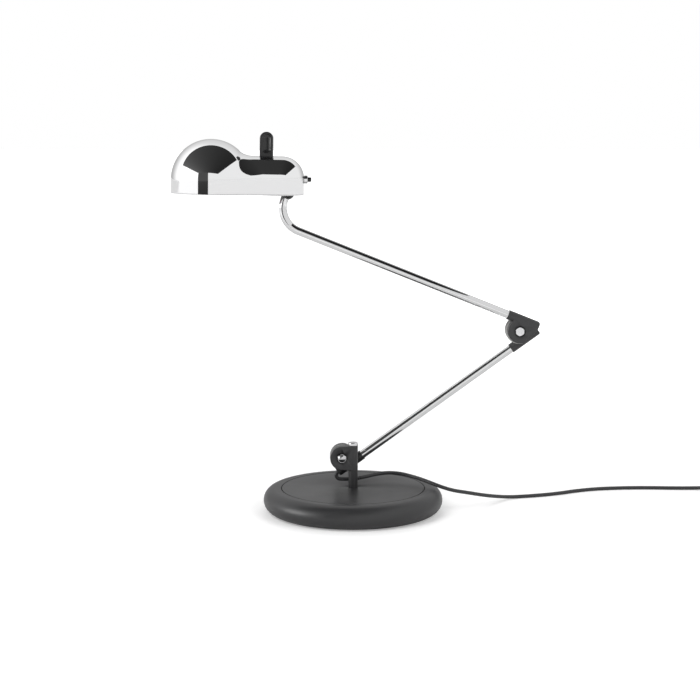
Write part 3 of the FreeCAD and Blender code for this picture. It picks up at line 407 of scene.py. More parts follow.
def polish_group():
    """Polished metal: almost even, with faint streaks left by wiping and a few dull spots."""
    group, given, end = new_group(
        "polish",
        [("Smooth", "NodeSocketFloat", 0.02), ("Rough", "NodeSocketFloat", 0.07),
         ("Streak", "NodeSocketFloat", 60.0)],
        [("Roughness", "NodeSocketFloat"), ("Height", "NodeSocketFloat")])
    place = add_node(group, "TexCoord").outputs["Object"]
    stretch = add_node(group, "Mapping", {"Vector": place, "Scale": streak_stretch})
    streaks = add_node(group, "TexNoise", {
        "Vector": stretch.outputs["Vector"], "Scale": given["Streak"], "Detail": 5.0,
        "Distortion": 0.6}).outputs["Fac"]
    fill(group, end, {
        "Roughness": value_range(group, streaks, *streak_span, given["Smooth"], given["Rough"]),
        "Height": streaks})
    return group


fine_grain = fine_grain_group()
polish = polish_group()
print("groups", fine_grain.name, polish.name)

# %% [markdown]
# Two functions make every finish. A grained one is for paint, plastic and rubber, and
# a polished one for bare metal. The colour, the roughness span, the grain's size and its depth
# are what tells a cast iron face from a rubber sleeve.


# %% Finishes
def add_bump(tree, placed, shader, depth):
    """Lets a group's height lift the surface by a depth in metres."""
    bump = add_node(tree, "Bump", {
        "Height": placed["Height"], "Strength": 1.0, "Distance": depth})
    fill(tree, shader, {"Normal": bump.outputs["Normal"]})


def grained(name, colour, smooth, rough, grain=2500.0, depth=0.00003, tone=0.12, gloss=0.5):
    """Paint, plastic or rubber."""
    material, tree = bare_material(name)
    placed = add_node(tree, "Group", {"Colour": (*colour, 1), "Tone": tone, "Grain": grain,
                                      "Smooth": smooth, "Rough": rough},
                      node_tree=fine_grain).outputs
    shader = tree.nodes["Principled BSDF"]
    fill(tree, shader, {"Base Color": placed["Colour"], "Roughness": placed["Roughness"],
                        "Specular IOR Level": gloss})
    add_bump(tree, placed, shader, depth)
    return material


def metal(name, colour, smooth, rough, streak=60.0, depth=0.0):
    """Bare metal."""
    material, tree = bare_material(name)
    placed = add_node(tree, "Group", {"Smooth": smooth, "Rough": rough, "Streak": streak},
                      node_tree=polish).outputs
    shader = tree.nodes["Principled BSDF"]
    fill(tree, shader, {"Base Color": (*colour, 1), "Metallic": 1.0,
                        "Roughness": placed["Roughness"]})
    if depth:
        add_bump(tree, placed, shader, depth)
    return material


def frosted_glass(name):
    """The bulb: milky glass that scatters light and doesn't show what is inside."""
    material, tree = bare_material(name)
    placed = add_node(tree, "Group", {"Colour": (0.93, 0.92, 0.9, 1), "Tone": 0.02,
                                      "Grain": 3000.0, "Smooth": 0.22, "Rough": 0.3},
                      node_tree=fine_grain).outputs
    fill(tree, tree.nodes["Principled BSDF"], {
        "Base Color": placed["Colour"], "Roughness": placed["Roughness"],
        "Subsurface Weight": 0.3, "Subsurface Scale": 0.004})
    return material


# For each: colour, least and greatest roughness, grain's fineness and depth, tone, gloss. What
# is left out keeps the value that its function gives.
grained_finishes = {
    "base_paint": ((0.029, 0.029, 0.0302), 0.33, 0.4, 1000.0, 0.00002, 0.2),
    "joint_paint": ((0.031, 0.031, 0.0322), 0.34, 0.44, 700.0, 0.00007, 0.45),
    "ball_paint": ((0.01, 0.01, 0.011), 0.12, 0.2, 900.0, 0.000005, 0.05),
    "dark_post": ((0.028, 0.028, 0.029), 0.26, 0.34, 1500.0, 0.00001, 0.08),
    "rubber_pad": ((0.02, 0.02, 0.02), 0.75, 0.9, 1500.0, 0.00008, 0.2, 0.3),
    "ballast_iron": ((0.06, 0.058, 0.056), 0.6, 0.8, 700.0, 0.0002, 0.3),
    "bush_plastic": ((0.02, 0.02, 0.02), 0.35, 0.45),
    "washer_plastic": ((0.45, 0.45, 0.44), 0.4, 0.5),
    "socket_plastic": ((0.02, 0.02, 0.021), 0.35, 0.45),
    "cover_plastic": ((0.025, 0.025, 0.026), 0.4, 0.5),
    "grip_plastic": ((0.012, 0.012, 0.0125), 0.24, 0.34, 1500.0, 0.00001, 0.1),
    "button_plastic": ((0.012, 0.012, 0.0125), 0.15, 0.22, 900.0, 0.000005, 0.05),
    "switch_plastic": ((0.03, 0.03, 0.03), 0.35, 0.45),
    "holder_plastic": ((0.03, 0.03, 0.031), 0.3, 0.42),
    "block_plastic": ((0.6, 0.6, 0.57), 0.35, 0.45),
    "wire_rubber": ((0.05, 0.05, 0.05), 0.4, 0.5),
    "cord_black": ((0.03, 0.03, 0.0315), 0.42, 0.54, 1400.0, 0.00003, 0.15),
    "tie_plastic": ((0.02, 0.02, 0.02), 0.6, 0.8, 1800.0, 0.00012, 0.3),
    "plug_plastic": ((0.02, 0.02, 0.021), 0.32, 0.42, 1200.0, 0.00003, 0.1),
}
# For each: colour, least and greatest roughness, streaks' fineness and depth.
metal_finishes = {
    "bright_chrome": ((0.73, 0.73, 0.735), 0.02, 0.05),
    "shade_chrome": ((0.9, 0.9, 0.905), 0.012, 0.04, 30.0),
    "steel_screws": ((0.5, 0.5, 0.51), 0.25, 0.4, 400.0, 0.00001),
    "steel_bolt": ((0.62, 0.62, 0.63), 0.08, 0.2, 500.0, 0.00001),
    "bracket_steel": ((0.55, 0.55, 0.56), 0.28, 0.42, 300.0, 0.00001),
    "cap_metal": ((0.78, 0.78, 0.78), 0.2, 0.35, 300.0, 0.00001),
    "pin_brass": ((0.8, 0.72, 0.5), 0.15, 0.3, 300.0, 0.00001),
}
finish = {name: grained(name, *values) for name, values in grained_finishes.items()}
finish["bulb_glass"] = frosted_glass("bulb_glass")
finish.update({name: metal(name, *values) for name, values in metal_finishes.items()})
missing = sorted(set(node_slot.values()) - set(finish))
print("finishes", len(finish), "missing", missing)

# %% [markdown]
# Each finished piece goes on the body that carries it, gets the finish that its slot names, and hides the solid it
# stands for. Solids that stay as they are only get their finish.

# %% Settling pieces
merge_distance, least_edge = 2e-6, 1e-6


def settle(piece, node, *others):
    """Puts a piece in the place of a solid, on its body and with its finish."""
    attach(piece, node_body[node])
    piece.data.materials.clear()
    piece.data.materials.append(finish[node_slot[node]])
    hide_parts(node, *others)
    return piece


def smooth_copy(node, angle=32.0):
    """A solid's mesh with its loose triangles joined, shaded smooth over gentle edges and
    crisp over sharp ones. Larger faces weigh more, so that flats stay flat."""
    mesh = frame["nodes"][node].data.copy()
    mesh.name = node + "_smooth"
    shape = bmesh.new()
    shape.from_mesh(mesh)
    bmesh.ops.remove_doubles(shape, verts=shape.verts, dist=merge_distance)
    bmesh.ops.dissolve_degenerate(shape, edges=shape.edges, dist=least_edge)
    shape.to_mesh(mesh)
    shape.free()
    mesh.polygons.foreach_set("use_smooth", np.ones(len(mesh.polygons), bool))
    mesh.set_sharp_from_angle(angle=math.radians(angle))
    piece = add_object(node + "_smooth", mesh)
    even = piece.modifiers.new("even", "WEIGHTED_NORMAL")
    even.keep_sharp = True
    return settle(piece, node)


for node, solid in frame["nodes"].items():
    solid.data.materials.clear()
    solid.data.materials.append(finish[node_slot[node]])
print("solids dressed", len(frame["nodes"]))

# %% [markdown]
# Cords and arm tubes are round bars. A bar is a circle carried along a path, and a direction
# that the path never runs in is enough to set the circle square to it everywhere.


# %% Round bars
def pipe(name, path, radius, across, columns=48):
    """A round bar along a path. At each of its points a circle stands square to the path:
    radius * (first * cos a + second * sin a), where the first is also square to across."""
    way = np.gradient(path, axis=0)
    way /= np.linalg.norm(way, axis=1)[:, None]
    first = np.cross(way, across)
    first /= np.linalg.norm(first, axis=1)[:, None]
    second = np.cross(first, way)
    angle = np.linspace(0, 2 * np.pi, columns, endpoint=False)[:, None]
    spokes = np.cos(angle) * first[:, None] + np.sin(angle) * second[:, None]
    ends = np.repeat(path[[0, -1]][:, None], columns, axis=1)
    return surface(name, np.concatenate([ends[:1], path[:, None] + radius * spokes, ends[1:]]))


print("round bars follow a path")

# %% [markdown]
# The mains lead leaves the foot of the lower arm, turns back tightly under it, crosses the
# base behind the post, dips over the rim and runs off to the right. The rest of its 1.8 metres
# is wound into a small coil, outside the picture, with the plug beside it. It is drawn as smooth
# curves through listed points, in two pieces that meet in a straight run: a short one at the
# arm's foot and a long one for the rest.

# %% Lead's route
cord_radius = 0.0025
lead_route = [
    (-0.0178, 0.0138, 0.0525), (-0.0225, 0.0138, 0.0492), (-0.0230, 0.0138, 0.0442),
    (-0.0196, 0.0138, 0.0405), (-0.0120, 0.0138, 0.0405), (0.0014, 0.0145, 0.0406),
    (0.0082, 0.01775, 0.04115),
]
mains_route = [
    (0.0082, 0.01775, 0.04115), (0.0150, 0.0210, 0.0417), (0.0302, 0.0310, 0.0432),
    (0.0469, 0.0380, 0.0442), (0.0647, 0.0370, 0.0433), (0.0808, 0.0260, 0.0415),
    (0.0925, 0.0110, 0.0410), (0.1041, -0.0030, 0.0395), (0.1186, -0.0090, 0.0348),
    (0.1350, -0.0060, 0.0291), (0.1563, 0.0070, 0.0230), (0.1827, 0.0270, 0.0142),
    (0.2167, 0.0665, 0.0026), (0.2510, 0.0745, 0.0026), (0.2866, 0.0872, 0.0026),
    (0.3241, 0.1095, 0.0026), (0.3617, 0.1214, 0.0026), (0.4127, 0.1258, 0.0026),
    (0.4694, 0.1221, 0.0026), (0.5150, 0.1210, 0.0035),
]


def smooth_line(points):
    """Points close together along one smooth curve, with the given points as its control points."""
    data = bpy.data.curves.new("route", "CURVE")
    data.dimensions = "3D"
    spline = data.splines.new("NURBS")
    spline.points.add(len(points) - 1)
    spline.points.foreach_set("co", np.c_[points, np.ones(len(points))].ravel())
    spline.order_u = 3
    spline.use_endpoint_u = True
    data.resolution_u = 8
    route = bpy.data.objects.new("route", data)
    mesh = bpy.data.meshes.new_from_object(route)
    line = np.array([v.co for v in mesh.vertices])
    bpy.data.objects.remove(route)
    return line


arm_line = smooth_line(np.array(lead_route))
print("first stretch", len(arm_line), "points")

# %% [markdown]
# A wound cord is a spiral. In the lower layer it winds inwards, climbs by its own width in half
# a turn, and winds outwards again on top, so no turn lies in another.

# %% Coil
coil_centre_x = 0.562
coil_turn_pitch = 0.0056
coil_middle_radius = 0.0275
coil_layer_turns = 2.875
coil_low = 0.0035
coil_points_per_turn = 16
coil_outer = coil_middle_radius + coil_layer_turns * coil_turn_pitch / 2


def coil_points():
    """The coil's turns: a spiral in, half a turn that climbs one cord's width, and a spiral out.
    The radius shrinks and grows by the pitch in every turn. A smooth curve runs inside its
    control points, three of which weigh 1/8, 3/4 and 1/8, so they are set outwards by that."""
    total = 2 * coil_layer_turns + 0.5
    turns = np.linspace(0, total, int(total * coil_points_per_turn) + 1)
    climb = np.clip(turns - coil_layer_turns, 0, 0.5)
    radius = coil_outer - coil_turn_pitch * np.minimum(turns, coil_layer_turns)
    radius -= coil_turn_pitch * (climb - 2 * climb**2)
    radius += coil_turn_pitch * np.maximum(turns - coil_layer_turns - 0.5, 0)
    radius /= 0.75 + 0.25 * math.cos(2 * math.pi / coil_points_per_turn)
    height = coil_low + coil_turn_pitch * (1 - np.cos(2 * np.pi * climb)) / 2
    angle = 2 * np.pi * turns - np.pi / 2
    return np.stack([coil_centre_x + radius * np.cos(angle),
                     mains_route[-1][1] + coil_outer + radius * np.sin(angle), height], axis=1)


coil = coil_points()
last_step = coil[-1] - coil[-2]
coil_tail = coil[-1] + last_step / np.linalg.norm(last_step) * 2 * cord_radius
print("coil points", len(coil), "tail", coil_tail)

# %% [markdown]
# Each piece of the lead is a round cord along its line.


# %% Lead's two pieces
def cord_tube(name, line, across):
    """A round cord along a line of points. Across is a direction that it never runs in."""
    piece = pipe(name, line, cord_radius, across, 24)
    piece.data.materials.append(finish["cord_black"])
    return piece


arm_lead = cord_tube("arm_lead", arm_line, (0, 1, 0))
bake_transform(arm_lead)
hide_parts("cord_lead")
mains_line = smooth_line(np.vstack([mains_route, coil, coil_tail]))
mains_lead = cord_tube("mains_lead", mains_line, (0, 0, 1))
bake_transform(mains_lead)
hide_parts("mains_cord", "cord_coil")
print("lead's pieces", arm_lead.name, mains_lead.name)

# %% [markdown]
# The lead ends in a plain two-pin plug, and a flat strap holds the coil together. They keep the
# forms of their solids.

# %% Lead fittings
plug_nodes = ("plug_relief", "plug_body", "plug_pins", "coil_tie")
plug_pieces = [smooth_copy(node) for node in plug_nodes]
print("fittings", [p.name for p in plug_pieces])

# %% [markdown]
# Base, post, cap, ball, switch and bulb are turned forms, as from a lathe. A profile of points,
# each with a distance from the axis and a height, goes round the axis. Real edges are never
# quite sharp, so a second helper rounds the profile's corners.


# %% Turned forms
def across_axis(axis):
    """Two directions at right angles to an axis and to each other."""
    axis = np.asarray(axis, float) / np.linalg.norm(axis)
    first = np.cross(axis, (0.0, 1.0, 0.0) if abs(axis[1]) < 0.9 else (1.0, 0.0, 0.0))
    first /= np.linalg.norm(first)
    return axis, first, np.cross(axis, first)


def turned(name, profile, foot, axis, columns=96, ring=False):
    """A turned form. Point (r, h) of the profile goes round the axis at a distance r and a
    height h above the foot: foot + h * axis + r * (first * cos a + second * sin a)."""
    axis, first, second = across_axis(axis)
    radius, height = np.asarray(profile, float).T
    angle = np.linspace(0, 2 * np.pi, columns, endpoint=False)
    spokes = np.cos(angle)[:, None] * first + np.sin(angle)[:, None] * second
    height, radius = height[:, None, None], radius[:, None, None]
    return surface(name, np.asarray(foot, float) + height * axis + radius * spokes, wrap_rows=ring)


def softened(corners, steps=5, support=0.0002):
    """A profile with rounded corners. Each corner is (r, h, rounding): its arc touches both
    sides, and one more point just beyond each end of the arc keeps the flats flat."""
    corners = [np.asarray(c, float) for c in corners]
    out = []
    for i, corner in enumerate(corners):
        if i in (0, len(corners) - 1) or corner[2] == 0:
            out.append(corner[:2])
            continue
        spot = corner[:2]
        back = corners[i - 1][:2] - spot
        ahead = corners[i + 1][:2] - spot
        back, ahead = back / np.linalg.norm(back), ahead / np.linalg.norm(ahead)
        half = math.acos(np.clip(back @ ahead, -1, 1)) / 2
        reach = corner[2] / math.tan(half)
        middle = (back + ahead) / np.linalg.norm(back + ahead)
        centre = spot + middle * corner[2] / math.sin(half)
        start, end = spot + back * reach - centre, spot + ahead * reach - centre
        swing = math.pi - 2 * half
        out.append(spot + back * (reach + support))
        for share in np.linspace(0, 1, steps):
            weight = np.sin([(1 - share) * swing, share * swing]) / math.sin(swing)
            out.append(centre + start * weight[0] + end * weight[1])
        out.append(spot + ahead * (reach + support))
    return np.array(out)


print("turned forms have rounded corners")

# %% [markdown]
# The base is a thick ring, half round on its outside, round a flat disc. A dark groove parts
# the two, and the ring's inner edge is rounded finely enough to catch a line of light.

# %% Base
origin = (0, 0, 0)
up = (0, 0, 1)
fit_gap = 0.00002
rim_width = 0.024
rim_edge = 0.0013
plate_edge, hole_edge = 0.0005, 0.0002
base_low, base_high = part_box("base_rim")
base_radius = base_high.x
rim_inner = base_radius - rim_width
rim_round = (base_high.z - base_low.z) / 2
plate_low, plate_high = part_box("base_top_plate")
plate_radius = plate_high.x
post_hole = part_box("post")[1].x + fit_gap


def rim_profile():
    """Half a circle outside, a flat on top, a small rounding and the inner wall."""
    angle = np.linspace(-np.pi / 2, np.pi / 2, 49)
    middle = (base_low.z + base_high.z) / 2
    outside = np.stack([base_radius - rim_round + rim_round * np.cos(angle),
                        middle + rim_round * np.sin(angle)], axis=1)
    inside = softened([(base_radius - rim_round, base_high.z, 0),
                       (rim_inner, base_high.z, rim_edge), (rim_inner, plate_low.z, 0)], steps=7)
    return np.vstack([outside, inside[1:], [(rim_inner, base_low.z)]])


def plate_profile():
    """A flat disc with a hole for the post: the outer edge is rounded, the hole's is broken."""
    return softened([(post_hole, plate_low.z, 0), (plate_radius, plate_low.z, 0),
                     (plate_radius, plate_high.z, plate_edge),
                     (post_hole + hole_edge, plate_high.z, 0),
                     (post_hole, plate_high.z - hole_edge, 0)])


settle(turned("rim", rim_profile(), origin, up, columns=192, ring=True), "base_rim")
settle(turned("plate", plate_profile(), origin, up, columns=192, ring=True), "base_top_plate")
print("base radius", base_radius, "plate radius", plate_radius)

# %% [markdown]
# The post is a turned bar with a shoulder, and its bright cap keeps the swivelling joint on it.

# %% Post and cap
post_low, post_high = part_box("post")
cap_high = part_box("post_cap")[1]
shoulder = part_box("swivel_bush")[0].z
post_radius, cap_radius = post_high.x, cap_high.x
stud_radius, neck_radius = 0.004, 0.0045
seat_height = 0.0242
post_edge, cap_foot_edge, cap_top_edge = 0.0004, 0.0003, 0.0014
neck_gap = 0.0001
neck_top = post_high.z - neck_gap
post_profile = softened([
    (0, post_low.z, 0), (stud_radius, post_low.z, post_edge), (stud_radius, seat_height, 0),
    (post_radius, seat_height, post_edge), (post_radius, shoulder, post_edge),
    (neck_radius, shoulder, 0), (neck_radius, neck_top, 0), (0, neck_top, 0)])
cap_profile = softened([
    (0, post_high.z, 0), (cap_radius, post_high.z, cap_foot_edge),
    (cap_radius, cap_high.z, cap_top_edge), (0, cap_high.z, 0)], steps=8)
settle(turned("upright", post_profile, origin, up, columns=64), "post")
settle(turned("cap", cap_profile, origin, up, columns=64), "post_cap")
print("cap radius", cap_radius)

# %% [markdown]
# The joints are thick flat halves that meet on a bolt, with a round sleeve for each tube. Their
# solids already have the right rounded edges, so a smooth copy of each is enough, and so it is
# for the head's bracket, cover, socket and grip. The lower bolt's face is a little domed, which
# a shallow cap of a ball adds.

# %% Joints
copied_nodes = (
    "swivel_bush", "post_knuckle", "lower_arm_foot_knuckle", "lower_arm_elbow_knuckle",
    "upper_arm_elbow_knuckle", "lower_bolt", "elbow_bolt", "lower_nut", "elbow_nut",
    "lower_spring_washer", "elbow_spring_washer", "lower_friction_washer",
    "elbow_friction_washer", "cord_grommet", "ball_socket", "socket_ring", "ball_liner",
    "rear_cover", "cover_screws", "head_bracket", "grip_handle")
bolt_dome_radius, bolt_dome_rise = 0.0051, 0.0018


def add_dome(piece, foot, radius, rise):
    """Puts a shallow dome on a bolt's face: a ball of radius (r*r + h*h) / 2h, cut at radius r.
    Its flat foot goes a quarter of the rise into the bolt."""
    ball = (radius * radius + rise * rise) / (2 * rise)
    out = np.linspace(0, np.arcsin(radius / ball), 24)
    profile = np.stack([ball * np.sin(out), rise - ball + ball * np.cos(out)], axis=1)
    profile = np.vstack([profile, [(0, -rise / 4)]])
    dome = turned("dome", profile, foot, (0, -1, 0), columns=64)
    both = bmesh.new()
    both.from_mesh(piece.data)
    both.from_mesh(dome.data)
    both.to_mesh(piece.data)
    both.free()
    bpy.data.meshes.remove(dome.data)


copies = {node: smooth_copy(node) for node in copied_nodes}
bolt_low, bolt_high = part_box("lower_bolt")
bolt_face = ((bolt_low.x + bolt_high.x) / 2, bolt_low.y, (bolt_low.z + bolt_high.z) / 2)
add_dome(copies["lower_bolt"], bolt_face, bolt_dome_radius, bolt_dome_rise)
print("copies", len(copies))

# %% [markdown]
# The arms are bright tubes. The lower one is straight. The upper one ends in a quarter bend
# below the head. A circle carried along the middle line makes both: for a path in a plane,
# one direction across the tube is the plane's own normal, and the other follows the bend.

# %% Tubes
tube_radius = 0.0055
tube_insert = 0.005
tube_stop = 0.0035
sleeve_offset = 0.0148
joint_depth = 0.0138
bend_radius = 0.032
ball_centre = np.array(joint["head_tilt"]["pos_m"])
lower_pivot = np.array(joint["lower_arm_tilt"]["pos_m"])
elbow_pivot = np.array(joint["elbow"]["pos_m"])
neck_axis = np.array(joint["head_pan"]["axis"])

reach = np.linalg.norm(elbow_pivot - lower_pivot)
along_lower = (elbow_pivot - lower_pivot) / reach
across_lower = np.array([along_lower[2], 0.0, -along_lower[0]])
foot = lower_pivot + across_lower * sleeve_offset + np.array([0, joint_depth, 0])
lower_path = foot + np.linspace(tube_insert, reach - tube_insert, 40)[:, None] * along_lower
settle(pipe("lower_tube", lower_path, tube_radius, (0, 1, 0)), "lower_arm_tube")

along_upper = np.array([-neck_axis[2], 0.0, neck_axis[0]])
upper_foot = elbow_pivot + neck_axis * sleeve_offset
bend_centre = ball_centre - neck_axis * (neck_axis @ (ball_centre - upper_foot))
bend_start = bend_centre - along_upper * bend_radius
angle = np.linspace(0, np.pi / 2, 41)[:, None]
bend = bend_start + bend_radius * (along_upper * np.sin(angle) + neck_axis * (1 - np.cos(angle)))
tube_top = ball_centre - neck_axis * tube_stop
upper_path = np.vstack([np.linspace(upper_foot + along_upper * tube_insert, bend_start, 40)[:-1],
                        bend, np.linspace(bend[-1], tube_top, 6)[1:]])
settle(pipe("upper_tube", upper_path, tube_radius, (0, 1, 0)), "upper_arm_tube")
print("tubes", len(lower_path), len(upper_path))

# %% [markdown]
# The head turns on a glossy black ball, half hidden in its socket. It is a sphere with a hole
# for the tube, so its profile is an arc from the tube to the far end.

# %% Ball
ball_radius = 0.010
mouth = math.asin(tube_radius / ball_radius)
sweep = np.linspace(mouth, np.pi, 41)
ball_profile = np.stack([ball_radius * np.sin(sweep), -ball_radius * np.cos(sweep)], axis=1)
tube_hole = [(0, -tube_stop), (tube_radius + fit_gap, -tube_stop)]
ball_profile = np.vstack([tube_hole, ball_profile])
settle(turned("ball", ball_profile, ball_centre, neck_axis, columns=64), "ball_stud")
print("ball at", ball_centre)

# %% [markdown]
# The shade is pressed from one sheet: a round dome in front and a narrower lobe behind, with
# the hollow between them rounded. Its skin is where a distance is nought. Outside a dome that
# stands on a round skirt, and outside a lobe that is a half round bar on a straight skirt, the
# distances are easy to write. The rounding joins them by the circle that a ball rolling along
# the seam would leave. Rays from a point inside the shade find the skin by halving steps.

# %% Shade's two forms
dome_radius = 0.0533
lobe_radius = 0.0290
waist_base, waist_growth, waist_crest = 0.012, 0.024, 0.010
shade_wall = 0.0012
dome_centre = ball_centre + (-0.1002, 0, 0.0145)
lobe_centre = ball_centre + (-0.0071, 0, 0.0179)
rim_drop = 0.0035
rim_level = ball_centre[2] - rim_drop


def apart(points, centre, radius, half_length):
    """Distance to a form with a round top and a straight skirt, and its outward direction. The
    form's middle line runs from its centre forwards by the half length."""
    step = points - centre
    step[..., 0] -= np.clip(step[..., 0], -half_length, 0)
    step[..., 2] = np.maximum(step[..., 2], 0)
    length = np.maximum(np.linalg.norm(step, axis=-1), 1e-9)
    return length - radius, step / length[..., None]


def skin_distance(points, inset):
    """How far points lie outside the shade's skin, shrunk by the inset. Near the seam, with a
    and b the depths inside the two forms grown by the rounding and c the cosine between their
    outward directions, the rounding is where (a*a + b*b - 2*a*b*c) / (1 - c*c) is its square.
    The rounding is least just below the crest and grows down to the skirt, by powers of the
    height rise, which is 0 at the skirt and 1 at the crest."""
    first, out_first = apart(points.copy(), dome_centre, dome_radius - inset, 0)
    second, out_second = apart(points.copy(), lobe_centre, lobe_radius - inset,
                               lobe_centre[0] - dome_centre[0])
    rise = np.clip((points[..., 2] - lobe_centre[2]) / lobe_radius, 0, 1)
    rounding = waist_base + waist_growth * (1 - rise**2) + waist_crest * rise**8 + inset
    a, b = rounding - first, rounding - second
    c = np.clip((out_first * out_second).sum(-1), -0.999, 0.999)
    rolling = np.sqrt(np.maximum(a * a + b * b - 2 * a * b * c, 0) / (1 - c * c))
    near = (a > b * c) & (b > a * c) & (a > 0) & (b > 0)
    return np.where(near, rounding - rolling, np.minimum(first, second))


print("dome at", dome_centre, "lobe at", lobe_centre)

# %% [markdown]
# The sheet has an outer and an inner face, the wall's thickness apart, and half a round of rows
# closes them along the rim. Rows start at the top and end at the rim. The head is level up to
# here, and is then lifted a little at its front, as in the photograph.

# %% Shade's sheet
heart_behind_dome = 0.037
ray_reach = 0.14
head_lift = math.radians(1.0)


def cast(origin, direction, inset):
    """The points where rays from inside cross the skin, found by halving an interval."""
    low, high = np.zeros(direction.shape[:-1]), np.full(direction.shape[:-1], ray_reach)
    for _ in range(40):
        middle = (low + high) / 2
        inside = skin_distance(origin + direction * middle[..., None], inset) < 0
        low, high = np.where(inside, middle, low), np.where(inside, high, middle)
    return origin + direction * high[..., None]


def shade_sheet(inset, rows=84, columns=288):
    """One face of the sheet, from its top down to the rim, as seen from a point inside. Ray
    (i, j) leans from upright by the share i / (rows - 1) of the angle at which direction j
    meets the rim."""
    around = np.linspace(0, 2 * np.pi, columns, endpoint=False)
    flat = np.stack([np.cos(around), np.sin(around), np.zeros(columns)], axis=-1)
    heart = np.array([dome_centre[0] + heart_behind_dome, 0.0, dome_centre[2]])
    foot = cast(np.array([heart[0], 0.0, rim_level]), flat, inset)
    drop = foot - heart
    low = np.arctan2(np.hypot(drop[:, 0], drop[:, 1]), drop[:, 2])
    tilt = np.linspace(0, 1, rows)[:, None] * low
    ray = np.sin(tilt)[..., None] * flat + np.cos(tilt)[..., None] * np.array([0, 0, 1.0])
    sheet = cast(heart, ray, inset)
    sheet[-1] = foot
    return sheet


def lifted(points):
    """Lifts the front of the level head: turns x and z by the lift about the ball's centre."""
    step = points - ball_centre
    turned_step = step.copy()
    turned_step[..., 0] = step[..., 0] * math.cos(head_lift) + step[..., 2] * math.sin(head_lift)
    turned_step[..., 2] = step[..., 2] * math.cos(head_lift) - step[..., 0] * math.sin(head_lift)
    return ball_centre + turned_step


outer, inner = shade_sheet(0), shade_sheet(shade_wall)
edge = np.linspace(0, np.pi, 7)[1:-1, None, None]
middle, half = (outer[-1] + inner[-1]) / 2, (outer[-1] - inner[-1]) / 2
down = np.array([0, 0, -1.0]) * np.linalg.norm(half, axis=-1)[:, None]
roll = middle + half * np.cos(edge) + down * np.sin(edge)
roll[..., 2] += shade_wall / 2
outer[-1, :, 2] += shade_wall / 2
inner[-1, :, 2] += shade_wall / 2
skin = lifted(np.concatenate([outer, roll, inner[::-1]]))
shade = settle(surface("shade_shell", skin), "shade")
print("shade", len(shade.data.polygons), "faces")

# %% [markdown]
# A thin grey line is painted round the rim: painted shade in the metal's colour, which stands for the darker
# reflection that the sheet's rounded edge shows. The shade's metal gets it from the height above the rim.

# %% Painted rim line
# Height, fade and colour of the painted grey rim line, which stands for a darker reflection.
painted_rim_height, painted_rim_fade = 0.0012, 0.0006
painted_rim_colour = (0.62, 0.62, 0.625)


def paint_rim_shade_line(material, up, level, width, colour):
    """Paints a darker colour into a metal below a level, measured along an upward direction, over a short width: a
    painted shade line.
    """
    tree = material.node_tree
    shader = tree.nodes["Principled BSDF"]
    place = add_node(tree, "TexCoord").outputs["Object"]
    height = add_node(tree, "VectorMath", {0: place, 1: up}, operation="DOT_PRODUCT")
    # Mask of the painted rim line: 1 at the rim, 0 above it.
    edge = value_range(tree, height.outputs["Value"], level, level + width, 1.0, 0.0)
    plain_colour = shader.inputs["Base Color"].default_value
    blend = add_node(tree, "Mix", {"Factor": edge, "A": plain_colour, "B": (*colour, 1)},
                     data_type="RGBA")
    fill(tree, shader, {"Base Color": blend.outputs["Result"]})


upward = lifted(ball_centre + np.array([0, 0, 1.0])) - ball_centre
rim_height = float(np.dot(lifted(np.array([ball_centre[0], 0, rim_level])), upward))
# Paints the grey rim line, a painted reflection, into the shade's chrome.
paint_rim_shade_line(finish["shade_chrome"], tuple(upward), rim_height + painted_rim_height, painted_rim_fade, painted_rim_colour)
# Prints the height of the painted grey rim line.
print("edge dulled up to", painted_rim_height)

# %% [markdown]
# A push-button switch sits in the back of the shade: a bright collar, screwed on from outside,
# and a black button with a rounded end. Behind it, everything is hidden in the head.

# %% Switch
switch_height = 0.017
collar_bore, collar_neck, collar_outer, collar_lip = 0.00316, 0.0040, 0.0056, 0.0041
collar_depth, lip_height, collar_length = 0.0065, 0.0042, 0.0047
collar_foot_edge, collar_top_edge, lip_edge = 0.0003, 0.0007, 0.0002
button_radius, button_depth, button_length = 0.0031, 0.0105, 0.0095
button_foot_edge, button_end_round = 0.0003, 0.0016
back_way = lifted(ball_centre + np.array([1.0, 0, 0])) - ball_centre
switch_face = lifted(lobe_centre * (1, 1, 0)
                     + np.array([lobe_radius, 0, ball_centre[2] + switch_height]))
collar_profile = softened([
    (collar_bore, -collar_depth, 0), (collar_neck, -collar_depth, 0), (collar_neck, 0, 0),
    (collar_outer, 0, collar_foot_edge), (collar_outer, collar_length, collar_top_edge),
    (collar_lip, collar_length, lip_edge), (collar_lip, lip_height, 0),
    (collar_bore, lip_height, 0)])
button_profile = softened([
    (0, -button_depth, 0), (button_radius, -button_depth, button_foot_edge),
    (button_radius, button_length, button_end_round), (0, button_length, 0)], steps=9)
settle(turned("collar", collar_profile, switch_face, back_way, columns=64, ring=True),
       "switch_collar")
settle(turned("button", button_profile, switch_face, back_way, columns=48), "switch_button")
print("switch at", switch_face)

# %% [markdown]
# Inside the dome hangs a small round bulb in its holder. The glass swells smoothly from the
# narrow cap to a ball, which a short spline profile gives.

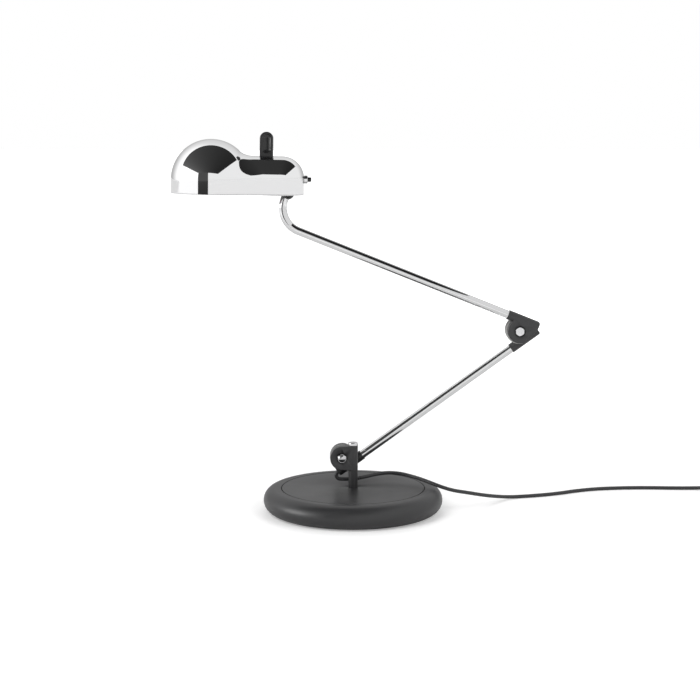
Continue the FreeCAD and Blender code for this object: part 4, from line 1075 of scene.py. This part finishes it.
# %% Bulb and holder
ahead = -back_way
tab_back, tab_rise = 0.0455, 0.0294
cap_reach = 0.021
tab_face = lifted(np.array([ball_centre[0] - tab_back, 0, ball_centre[2] + tab_rise]))
cap_end = tab_face + ahead * cap_reach
bulb_cap_radius, bulb_radius, bulb_middle = 0.007, 0.0225, 0.0345
join_angle = math.radians(58)
holder_radius, groove_radius, stem_radius, holder_bore = 0.0140, 0.0136, 0.0115, 0.00725
stem_length, holder_length = 0.022, 0.018
groove_low, groove_foot, groove_top, groove_high = 0.003, 0.0034, 0.005, 0.0054
stem_edge, flange_edge, groove_edge, mouth_edge, bore_edge = 0.001, 0.0006, 0.0004, 0.0008, 0.0006


def glass_profile():
    """The neck is a cubic curve of the share t of its height: it starts upright at the cap's
    radius and meets the ball in the ball's own slope. The ball is an arc from there."""
    t = np.linspace(0, 1, 25)
    join_radius = bulb_radius * math.sin(join_angle)
    join_height = bulb_middle - bulb_radius * math.cos(join_angle)
    slope = math.cos(join_angle) / math.sin(join_angle)
    neck = (bulb_cap_radius * (1 + 2 * t) * (1 - t)**2 + join_radius * t**2 * (3 - 2 * t)
            + join_height * slope * t**2 * (t - 1))
    sweep = np.linspace(join_angle, np.pi, 33)[1:]
    ball = np.stack([bulb_radius * np.sin(sweep),
                     bulb_middle - bulb_radius * np.cos(sweep)], axis=1)
    ball[-1, 0] = 0
    return np.vstack([[(0, 0)], np.stack([neck, join_height * t], axis=1), ball])


holder_profile = softened([
    (0, -stem_length, 0), (stem_radius, -stem_length, stem_edge), (stem_radius, 0, 0),
    (holder_radius, 0, flange_edge), (holder_radius, groove_low, groove_edge),
    (groove_radius, groove_foot, 0), (groove_radius, groove_top, 0),
    (holder_radius, groove_high, 0), (holder_radius, holder_length, mouth_edge),
    (holder_bore, holder_length, bore_edge), (holder_bore, 0, 0), (0, 0, 0)])
settle(turned("glass", glass_profile(), cap_end, ahead, columns=96), "bulb_glass")
settle(turned("holder", holder_profile, tab_face, ahead, columns=96), "lampholder")
print("bulb from", cap_end)
